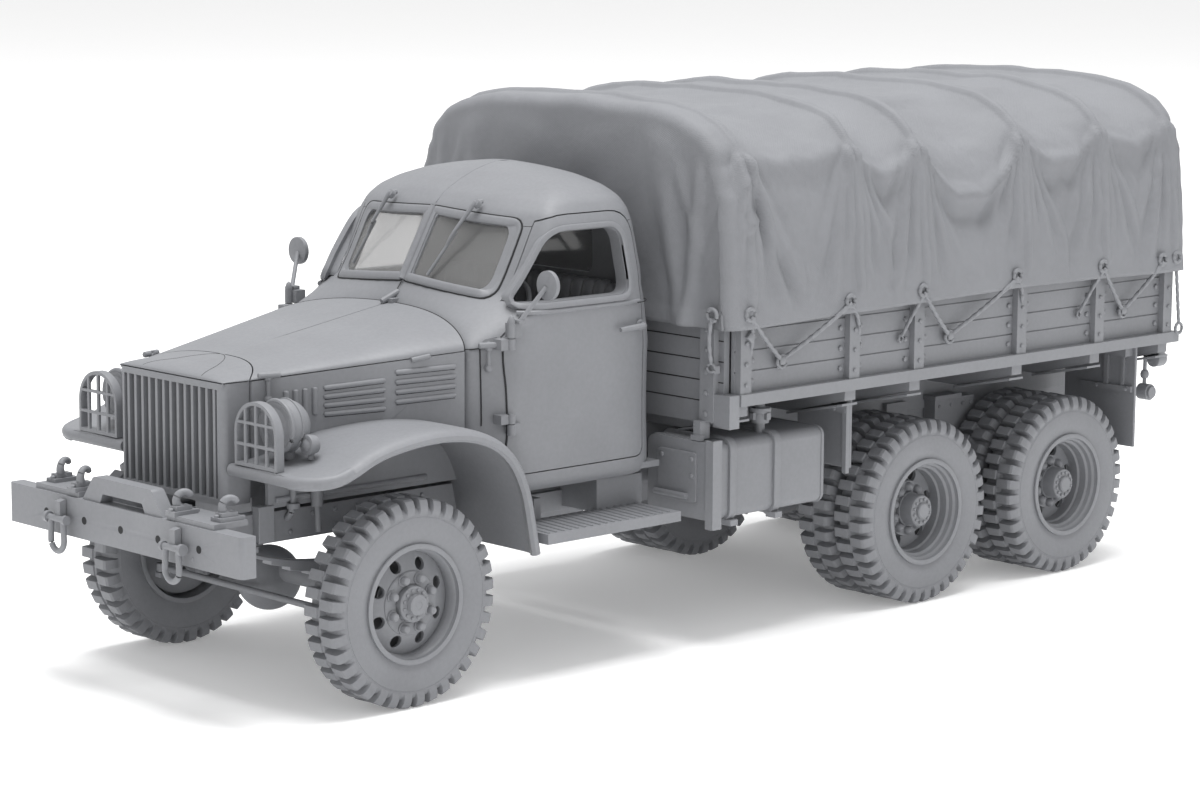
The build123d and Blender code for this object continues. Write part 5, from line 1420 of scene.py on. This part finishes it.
class TRUCK_OT_bed(bpy.types.Operator):
    """Fittings of the bed's boards, tailgate, tank, tool box, running boards, frame rails and flap arms, and
    painted shade in the boards' gaps
    """
    bl_idname = "truck.bed"
    bl_label = "Bed and tank details"

    def execute(self, context):
        height, station = np.meshgrid(PLANKS, np.concatenate((STAKES[1:] - 0.95, STAKES[:-1] + 3.05)))
        bolts = heads(at_x(BED_FACE, station, height), OUT, 0.36, 0.34, 12)
        height, station = np.meshgrid((35.9, 38.7, 41.5), STAKES + 1.05)
        bolts += heads(at_x(31.3, station, height), OUT, 0.3, 0.28, 12)
        bolts += heads([(27.1, 50.6, z) for z in (31.9, 34.7, 37.6, 40.5, 43.3)], FRONT, 0.36, 0.32, 12)
        bolts += heads([(31.35, 54.35, 42.4)], OUT, 0.85, 0.6, 4)
        # dark bars painted as the shade in the gaps between the bed's boards
        gaps = [tube([(-29.3, 51.6, z), (29.3, 51.6, z)], SHADE_BAR_RADIUS, 6) for z in (33.4, *PLANKS)]
        gaps += [tube([(29.62, 53.0, z), (29.62, 147.2, z)], SHADE_BAR_RADIUS, 6).on_both() for z in (37.6, 40.4, 43.2)]
        clips = blocks([(25.6, 26.9, 49.7, 51.5, 28.5, 30.9), (25.3, 27.2, 49.5, 50.2, 28.3, 29.0)])
        add_trim("bed_fittings", bolts.on_both() + clips.on_both())
        add_seam("board_gap_shade", "chassis", joined(gaps))
        self.tank()
        self.rails()
        self.steps()
        self.under_bed()
        self.gate()
        return {"FINISHED"}

    def gate(self):
        """Dark bars painted as the shade in the tailgate's board gaps, its straps with their bolts, its
        latches, and the tool box's lid.
        """
        back, across = GATE_BACK, (-22.0, 0.0, 22.0)
        # dark bars painted as the shade in the tailgate's board gaps
        gaps = joined(tube([(-28.6, back, z), (28.6, back, z)], SHADE_BAR_RADIUS, 6) for z in (37.1, 40.0, 42.9))
        straps = blocks([(x - 0.9, x + 0.9, back - 0.1, back + 0.35, 34.4, 45.4) for x in across])
        bolts = [(x, back + 0.3, z) for z in (35.6, 38.5, 41.4, 44.3) for x in across]
        straps += heads(bolts, BACK, 0.34, 0.28, 12)
        latch_bar = blocks([(27.6, 28.7, back - 0.2, back + 0.7, 43.6, 44.4)])
        add_piece("tailgate_straps", "tailgate", straps + latch_bar.on_both(), FINISHES["body"], bevel=0.05)
        add_seam("tailgate_gap_shade", "tailgate", gaps)
        section = arced([(-29.3, 17.6, 0.4), (-17.0, 17.6, 0.4), (-17.0, 28.2, 0.4), (-29.3, 28.2, 0.4)])
        box = blocks([(-29.6, -16.9, 49.4, 71.7, 27.6, 28.45), (-29.55, -29.2, 54.0, 55.0, 25.2, 27.7),
                      (-29.55, -29.2, 66.0, 67.0, 25.2, 27.7)])
        box += band(section, 51.4, 52.2, 0.2)
        box += band(section, 69.0, 69.8, 0.2)
        box += heads([(-29.5, 54.5, 25.8), (-29.5, 66.5, 25.8)], (-1, 0.01, 0), 0.4, 0.35, 12)
        add_trim("tool_box_lid", box, bevel=0.08)

    def tank(self):
        """Straps and seams of the fuel tank, its front plate, hatch with handle and screws, filler cap."""
        section = arced([(17.0, 17.6, 1.3), (29.3, 17.6, 1.3), (29.3, 28.2, 1.3), (17.0, 28.2, 1.3)])
        parts = band(section, 52.7, 53.9, 0.42) + band(section, 61.3, 62.5, 0.42)
        parts += band(section, 50.3, 50.55, 0.12) + band(section, 70.9, 71.15, 0.12)
        parts += blocks([(28.4, 29.85, 49.25, 49.6, 16.5, 28.6), (29.35, 29.85, 49.25, 51.0, 16.5, 28.6),
                         (28.2, 30.0, 52.6, 54.0, 16.7, 17.5), (28.2, 30.0, 61.2, 62.6, 16.7, 17.5)])
        hatch = arced([(19.2, 19.8, 0.6), (26.6, 19.8, 0.6), (26.6, 26.6, 0.6), (19.2, 26.6, 0.6)])
        parts += plug(np.insert(hatch, 1, 49.55, axis=1), BACK, 0.28)
        parts += tube([(19.0, 49.0, 20.6), (25.2, 49.0, 20.6)], 0.42, 12)
        parts += heads([(20.1, 49.3, 25.7), (25.8, 49.3, 25.7), (25.8, 49.3, 23.4)], FRONT, 0.36, 0.25, 12)
        cap = lathe([(0, 0), (0, 1.5), (0.35, 1.55), (0.7, 1.5), (0.75, 0.7), (1.4, 0.6), (1.6, 0.35),
                     (1.62, 0)], 28)
        parts += cap.stood(UP, (26.6, 61.5, 30.9))
        parts += blocks([(26.2, 27.0, 59.8, 63.2, 30.0, 31.0), (24.9, 28.3, 61.1, 61.9, 30.0, 31.0)])
        add_trim("tank_fittings", parts, bevel=0.05)

    def rails(self):
        """Air tank and its hangers; bolts, pipe, damper, stops and spring end along the frame rails."""
        parts = lathe([(0, 0), (0, 1.9), (0.4, 2.35), (17.6, 2.35), (18.0, 1.9), (18.0, 0)], 40)
        parts = parts.stood(BACK, (8.6, 26.2, 18.6))
        parts += blocks([(7.9, 9.3, 29.0, 29.8, 18.0, 24.0), (7.9, 9.3, 40.0, 40.8, 18.0, 24.0),
                         (13.0, 13.6, 22.0, 46.0, 18.6, 21.4), (13.0, 20.4, 36.9, 45.2, 19.2, 23.7)])
        stations = np.arange(-16.0, 14.0, 3.6)
        parts += heads(at_x(12.95, stations, 23.6), OUT, 0.32, 0.22, 10)
        parts += heads(at_x(12.95, stations[::2], 21.6), OUT, 0.32, 0.22, 10)
        parts += tube(rounded_path([(14.4, -9.4, 30.4), (14.4, -9.4, 24.6), (13.0, -9.4, 23.4)]), 0.42, 12)
        # rows (start, end, radius, sides): pipe union, damper and its rod, ledge, end of the spring
        bars = (((14.4, -9.4, 25.6), (14.4, -9.4, 24.9), 0.85, 16),
                ((14.7, -6.0, 29.8), (14.9, -6.0, 24.8), 0.75, 16),
                ((14.9, -6.0, 25.2), (15.2, -6.0, 21.6), 0.4, 12),
                ((14.0, -12.0, 26.2), (14.0, 12.6, 26.2), 0.4, 10),
                ((14.2, -20.6, 19.9), (16.9, -20.6, 19.9), 1.05, 20))
        parts += joined(tube((start, end), radius, sides) for start, end, radius, sides in bars)
        parts += blocks([(12.8, 14.6, 3.6, 6.8, 21.2, 24.0), (12.8, 14.2, -14.6, -12.2, 21.0, 25.6),
                         (14.8, 16.3, -22.0, -19.8, 19.9, 24.5), (14.3, 16.7, 2.4, 3.6, 16.0, 20.4),
                         (14.3, 16.7, -3.6, -2.4, 16.0, 20.4)])
        add_trim("chassis_fittings", parts.on_both(), bevel=0.08)

    def steps(self):
        """Slanted ribs of the running boards and the arms that carry the mud flaps."""
        parts = joined(tube([(20.2, y + 0.9, BOARD_TOP), (28.0, y, BOARD_TOP)], 0.17, 8)
                       for y in np.linspace(21.4, 43.0, 18))
        parts += blocks([(20.0, 28.8, 76.2, 77.0, 29.4, 30.4), (28.3, 29.0, 76.3, 77.0, 20.9, 32.9),
                         (19.0, 28.6, 140.5, 141.1, 25.6, 26.5), (23.4, 24.1, 140.5, 141.1, 26.4, 32.0),
                         (26.6, 27.1, 140.6, 141.1, 26.4, 32.0), (22.6, 28.4, 139.3, 141.1, 31.2, 32.6)])
        parts += heads([(26.8, 76.2, 29.9), (23.0, 76.2, 29.9), (27.6, 140.5, 26.05), (22.0, 140.5, 26.05)],
                       FRONT, 0.3, 0.25, 10)
        add_trim("step_ribs", parts.on_both())

    def under_bed(self):
        """Flanges under the bed's bearers, riveted boxes between the rear wheels, rear corner's coupling."""
        parts = blocks([(13.0, 15.3, 110.8, 119.6, 20.2, 26.0), (12.9, 15.7, 110.4, 116.4, 25.9, 26.6),
                        (12.9, 14.2, 84.0, 88.5, 20.6, 26.4), (12.9, 14.0, 101.5, 106.0, 21.0, 26.2)])
        y, z = np.meshgrid((111.8, 114.4, 117.0, 118.8), (21.2, 24.9))
        parts += heads(at_x(15.3, y, z), OUT, 0.3, 0.22, 10)
        for y in STAKES + 1.4:
            parts += plug([(30.2, y, 31.1), (30.2, y, 30.75), (19.6, y, 28.4), (19.6, y, 28.75)], BACK, 1.55)
        y = 146.4
        parts += tube([(26.0, y, 25.0), (27.9, y, 25.0)], 1.25, 24)
        parts += tube([(27.8, y, 25.0), (28.3, y, 25.0)], 0.95, 12)
        stem = [(0, 0), (0, 0.3), (1.4, 0.3), (1.6, 0.6), (2.1, 0.7), (2.6, 0.55), (2.8, 0.3), (7.4, 0.3),
                (7.4, 0)]
        parts += lathe(stem, 16).stood(UP, (26.7, y, 25.6))
        add_trim("under_bed", parts.on_both(), bevel=0.05)


# ---- Ropes ----
# rows (station, height): eyelets along the hem, and the bed hooks and ends that the ropes reach
EYELETS = np.array([(53.2, 45.6), (72.8, 45.8), (87.8, 46.0), (108.2, 46.5), (127.9, 46.3), (142.2, 46.2)])
HOOKS = np.array([(60.9, 38.6), (95.3, 38.8), (134.8, 39.0)])
ENDS = np.array([(54.9, 38.9), (76.6, 39.5), (85.3, 39.3), (111.3, 40.4), (124.7, 39.3)])


def rope(start, end):
    """Laid rope between two points, t from 0 to 1 along it; it sags by t (1 - t) millimetres."""
    t = np.linspace(0, 1, 70)[:, None]
    path = start + t * (end - start) - np.array((0, 0, 1.0)) * (t * (1 - t))
    return tube(path, 0.3, 12, strands=3, lay=1.5)


def cord(path, radius, sides=12):
    """Thinner laid rope along a path."""
    return tube(path, radius, sides, strands=3, lay=1.4)


class TRUCK_OT_ropes(bpy.types.Operator):
    """Eyelets of the tilt, its lashing ropes, the hooks on the bed's sides and the stitches of the hem"""
    bl_idname = "truck.ropes"
    bl_label = "Ropes"

    def execute(self, context):
        tops = at_x(32.62, *EYELETS.T)
        front = np.array((29.6, 49.0, 45.6))
        eyes = [hoop(place, OUT, 0.78, 0.3, 30) for place in (*tops, (32.6, 145.7, 46.3))]
        eyes.append(hoop(front, (0.1, -1, 0), 0.78, 0.3, 30))
        lines = []
        knob = lathe([(-0.7, 0), (-0.7, 0.5), (0.3, 0.45), (0.5, 0.62), (0.62, 0.55), (0.65, 0)], 18)
        for foot, pair in zip(at_x(30.9, *HOOKS.T), tops.reshape(-1, 2, 3)):
            for top in pair:
                lines.append(rope(top + (0.15, 0, -0.3), foot + (0.25, 0.2 * np.sign(top[1] - foot[1]), 0.2)))
            eyes += [hoop(foot + (0.2, 0, -0.15), OUT, 0.85, 0.26, 26), knob.at(foot)]
        for top, end in zip(tops, at_x(30.75, *ENDS.T)):
            path = (top + (0.15, 0, -0.5), (top + end) / 2 + (0.1, 0.7, 0.8), end + (0.1, 0, 0.2))
            lines.append(cord(rounded_path(path, 3, 60), 0.26))
            eyes.append(hoop(end, (1, 0.2, 0), 0.5, 0.2, 20))
        low = np.array((28.9, 49.6, 38.9))
        path = (front + (0, -0.1, -0.4), front + (-0.5, -0.15, -3.2), low)
        lines.append(cord(rounded_path(path, 3, 60), 0.27))
        eyes.append(hoop(low - (0, 0, 0.5), (0.3, -1, 0), 0.55, 0.2, 20))
        rear = np.array((31.7, 147.9, 35.2))
        lines.append(cord(np.linspace((32.3, 145.9, 46.0), rear + (0, 0, 0.8), 60), 0.25, 10))
        eyes += [hoop(rear, OUT, 0.8, 0.24, 24), blocks([(27.9, 29.3, 49.8, 50.9, 37.6, 38.6)])]
        add_trim("eyelets_and_hooks", joined(eyes).on_both(), crease=60)
        add_piece("ropes", "chassis", joined(lines).on_both(), FINISHES["rope"], crease=180)
        add_piece("hem_stitches", "chassis", self.stitches().on_both(), FINISHES["canvas"], crease=60)
        return {"FINISHED"}

    def stitches(self):
        """Raised line of stitches along the side's hem."""
        y = np.linspace(51.8, 147.0, 100)
        z = hem_line(y) + 2.15
        x = np.interp(z, (HEM, 47.0), (32.2, 31.95)) + 0.1
        return tube([(0, -0.28, 0), (0, 0.28, 0)], 0.075, 6).repeated(np.stack((x, y, z), -1))


# ---- Stage ----
FLOOR_HALF = 6.0
# the camera's yaw, pitch and roll in degrees, its place, its focal length in parts of the picture's width
CAMERA_TURN = (46.69, 9.1, 0.35)
CAMERA_PLACE = (336.67, -260.76, 103.98)
FOCAL, PICTURE_WIDE, SENSOR = 3322.6, 1200, 36.0


class TRUCK_OT_stage(bpy.types.Operator):
    """Pale floor, soft studio light and the camera"""
    bl_idname = "truck.stage"
    bl_label = "Stage"

    def execute(self, context):
        scene = context.scene
        look = scene.truck_look
        half = FLOOR_HALF
        floor = bpy.data.meshes.new("floor")
        floor.from_pydata([(-half, -half, 0), (half, -half, 0), (half, half, 0), (-half, half, 0)], [],
                          [(0, 1, 2, 3)])
        ground = new_object("floor", floor, FINISHES["floor"])
        world = bpy.data.worlds.new("Studio")
        scene.world = world
        world.use_nodes = True
        surround = world.node_tree.nodes["Background"].inputs
        surround["Color"].default_value = (1, 1, 1, 1)
        surround["Strength"].default_value = look.fill
        for name, size, place, power in (("over", 0.55, (0.03, 0.03, 0.95), look.key),
                                         ("left", 0.35, (0.5, -0.28, 0.26), look.key * 0.02)):
            lamp = bpy.data.lights.new(name, "AREA")
            lamp.shape = "SQUARE"
            lamp.size = size
            lamp.energy = power
            turn = unit(place - np.array((0, 0, 0.03)))
            side = unit(np.cross((0, 1, 0.01), turn))
            linked(name, lamp).matrix_world = pose(side, np.cross(turn, side), turn, place)
        yaw, pitch, roll = (math.radians(angle) for angle in CAMERA_TURN)
        back = np.array((math.sin(yaw) * math.cos(pitch), -math.cos(yaw) * math.cos(pitch), math.sin(pitch)))
        right = unit(np.cross(-back, (0, 0, 1)))
        up = np.cross(right, -back)
        right, up = (right * math.cos(roll) + up * math.sin(roll),
                     up * math.cos(roll) - right * math.sin(roll))
        eye = bpy.data.cameras.new("camera")
        eye.sensor_width = SENSOR
        eye.lens = FOCAL / PICTURE_WIDE * SENSOR
        eye.clip_start, eye.clip_end = 0.01, 30.0
        camera = linked("camera", eye)
        camera.matrix_world = pose(right, up, back, in_frame(CAMERA_PLACE))
        scene.camera = camera
        scene.view_settings.view_transform = "Standard"
        return {"FINISHED"}


def pose(x, y, z, place):
    """Matrix with three axes and a place."""
    rows = np.eye(4)
    rows[:3, 0], rows[:3, 1], rows[:3, 2], rows[:3, 3] = x, y, z, place
    return Matrix(rows.tolist())


def floor_finish():
    """Matt white paper floor."""
    nodes = Nodes("white_floor")
    tone = nodes.noise(nodes.place(), 40.0, 2.0)
    nodes.feed(nodes.shader, {"Base Color": nodes.mix(tone, (0.93, 0.93, 0.93, 1), (0.95, 0.95, 0.95, 1)),
                              "Roughness": 0.9, "Specular IOR Level": 0.1,
                              "Emission Color": (1, 1, 1, 1), "Emission Strength": 0.2})
    return nodes.material


# ---- Frame nodes ----
class TRUCK_OT_finishes(bpy.types.Operator):
    """Materials, and the moulded look of the frame's own pieces"""
    bl_idname = "truck.finishes"
    bl_label = "Finishes"

    def execute(self, context):
        look = context.scene.truck_look
        grey = tuple(look.plastic)
        FINISHES.update(
            body=plastic("grey_plastic", grey),
            rubber=plastic("tyre_grey", shade(grey, 0.96), 0.58, 0.02, 0.2),
            wheel=plastic("wheel_grey", shade(grey, 0.98), 0.5),
            canvas=canvas("canvas_grey", shade(grey, 1.03)),
            clear=clear("clear_plastic", (1, 1, 1)),
            floor=floor_finish(),
            seam=plastic("seam_shadow", shade(grey, 0.12), 0.8),
            # near-black copy of the grey: painted shade for seams, gaps and holes
            rope=plastic("rope_grey", shade(grey, 1.05), 0.62),
            seat=plastic("seat_grey", shade(grey, 0.85), 0.42, 0.03, 0.3))
        for name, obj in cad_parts.items():
            mesh = obj.data
            mesh.materials.clear()
            mesh.materials.append(FINISHES["clear" if name == "cab_glass" else "body"])
            if name == "cab_glass":
                continue
            mesh.shade_smooth()
            weld = obj.modifiers.new("Join", "WELD")
            weld.merge_threshold = 1e-6
            soften(obj, look.edge / MM)
            even = obj.modifiers.new("Flat faces", "WEIGHTED_NORMAL")
            even.weight = 80
            even.keep_sharp = False
        return {"FINISHED"}


class TruckLook(bpy.types.PropertyGroup):
    """Colours and light that a user may change."""
    plastic: bpy.props.FloatVectorProperty(
        name="Plastic", description="Base colour of the moulded parts", subtype="COLOR", size=3,
        default=(0.212, 0.217, 0.231), min=0, max=1)
    fill: bpy.props.FloatProperty(name="Surround light", description="Strength of the white surround",
                                  default=0.72, min=0)
    cloth: bpy.props.FloatProperty(name="Cloth wall", description="Thickness of the tilt", default=0.35 * MM,
                                   min=0.1 * MM, precision=5, unit="LENGTH")
    edge: bpy.props.FloatProperty(name="Edge radius", description="Rounding of the moulded parts' edges",
                                  default=0.1 * MM, min=0, precision=5, unit="LENGTH")
    key: bpy.props.FloatProperty(name="Overhead light", description="Power of the soft light above",
                                 default=10.5, min=0, unit="POWER")


class TRUCK_PT_panel(bpy.types.Panel):
    """Lists the truck's settings and its operators"""
    bl_idname = "TRUCK_PT_panel"
    bl_label = "Cargo truck model"
    bl_space_type = "VIEW_3D"
    bl_region_type = "UI"
    bl_category = "Truck"

    def draw(self, context):
        for key in TruckLook.__annotations__:
            self.layout.prop(context.scene.truck_look, key)
        for step in STEPS:
            self.layout.operator(step.bl_idname)


FINISHES = {}
STEPS = (TRUCK_OT_finishes, TRUCK_OT_stage, TRUCK_OT_wheels, TRUCK_OT_tilt, TRUCK_OT_cab, TRUCK_OT_hood,
         TRUCK_OT_front, TRUCK_OT_seat, TRUCK_OT_bed, TRUCK_OT_ropes)
CLASSES = (TruckLook,) + STEPS + (TRUCK_PT_panel,)


def register():
    """Registers the classes and hangs the settings on the scene."""
    for kind in CLASSES:
        bpy.utils.register_class(kind)
    bpy.types.Scene.truck_look = bpy.props.PointerProperty(type=TruckLook)


def unregister():
    """Takes the settings and classes away again."""
    del bpy.types.Scene.truck_look
    for kind in reversed(CLASSES):
        bpy.utils.unregister_class(kind)


def main():
    """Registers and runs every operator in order."""
    register()
    for step in STEPS:
        group, name = step.bl_idname.split(".")
        getattr(getattr(bpy.ops, group), name)()


if __name__ == "__main__":
    main()
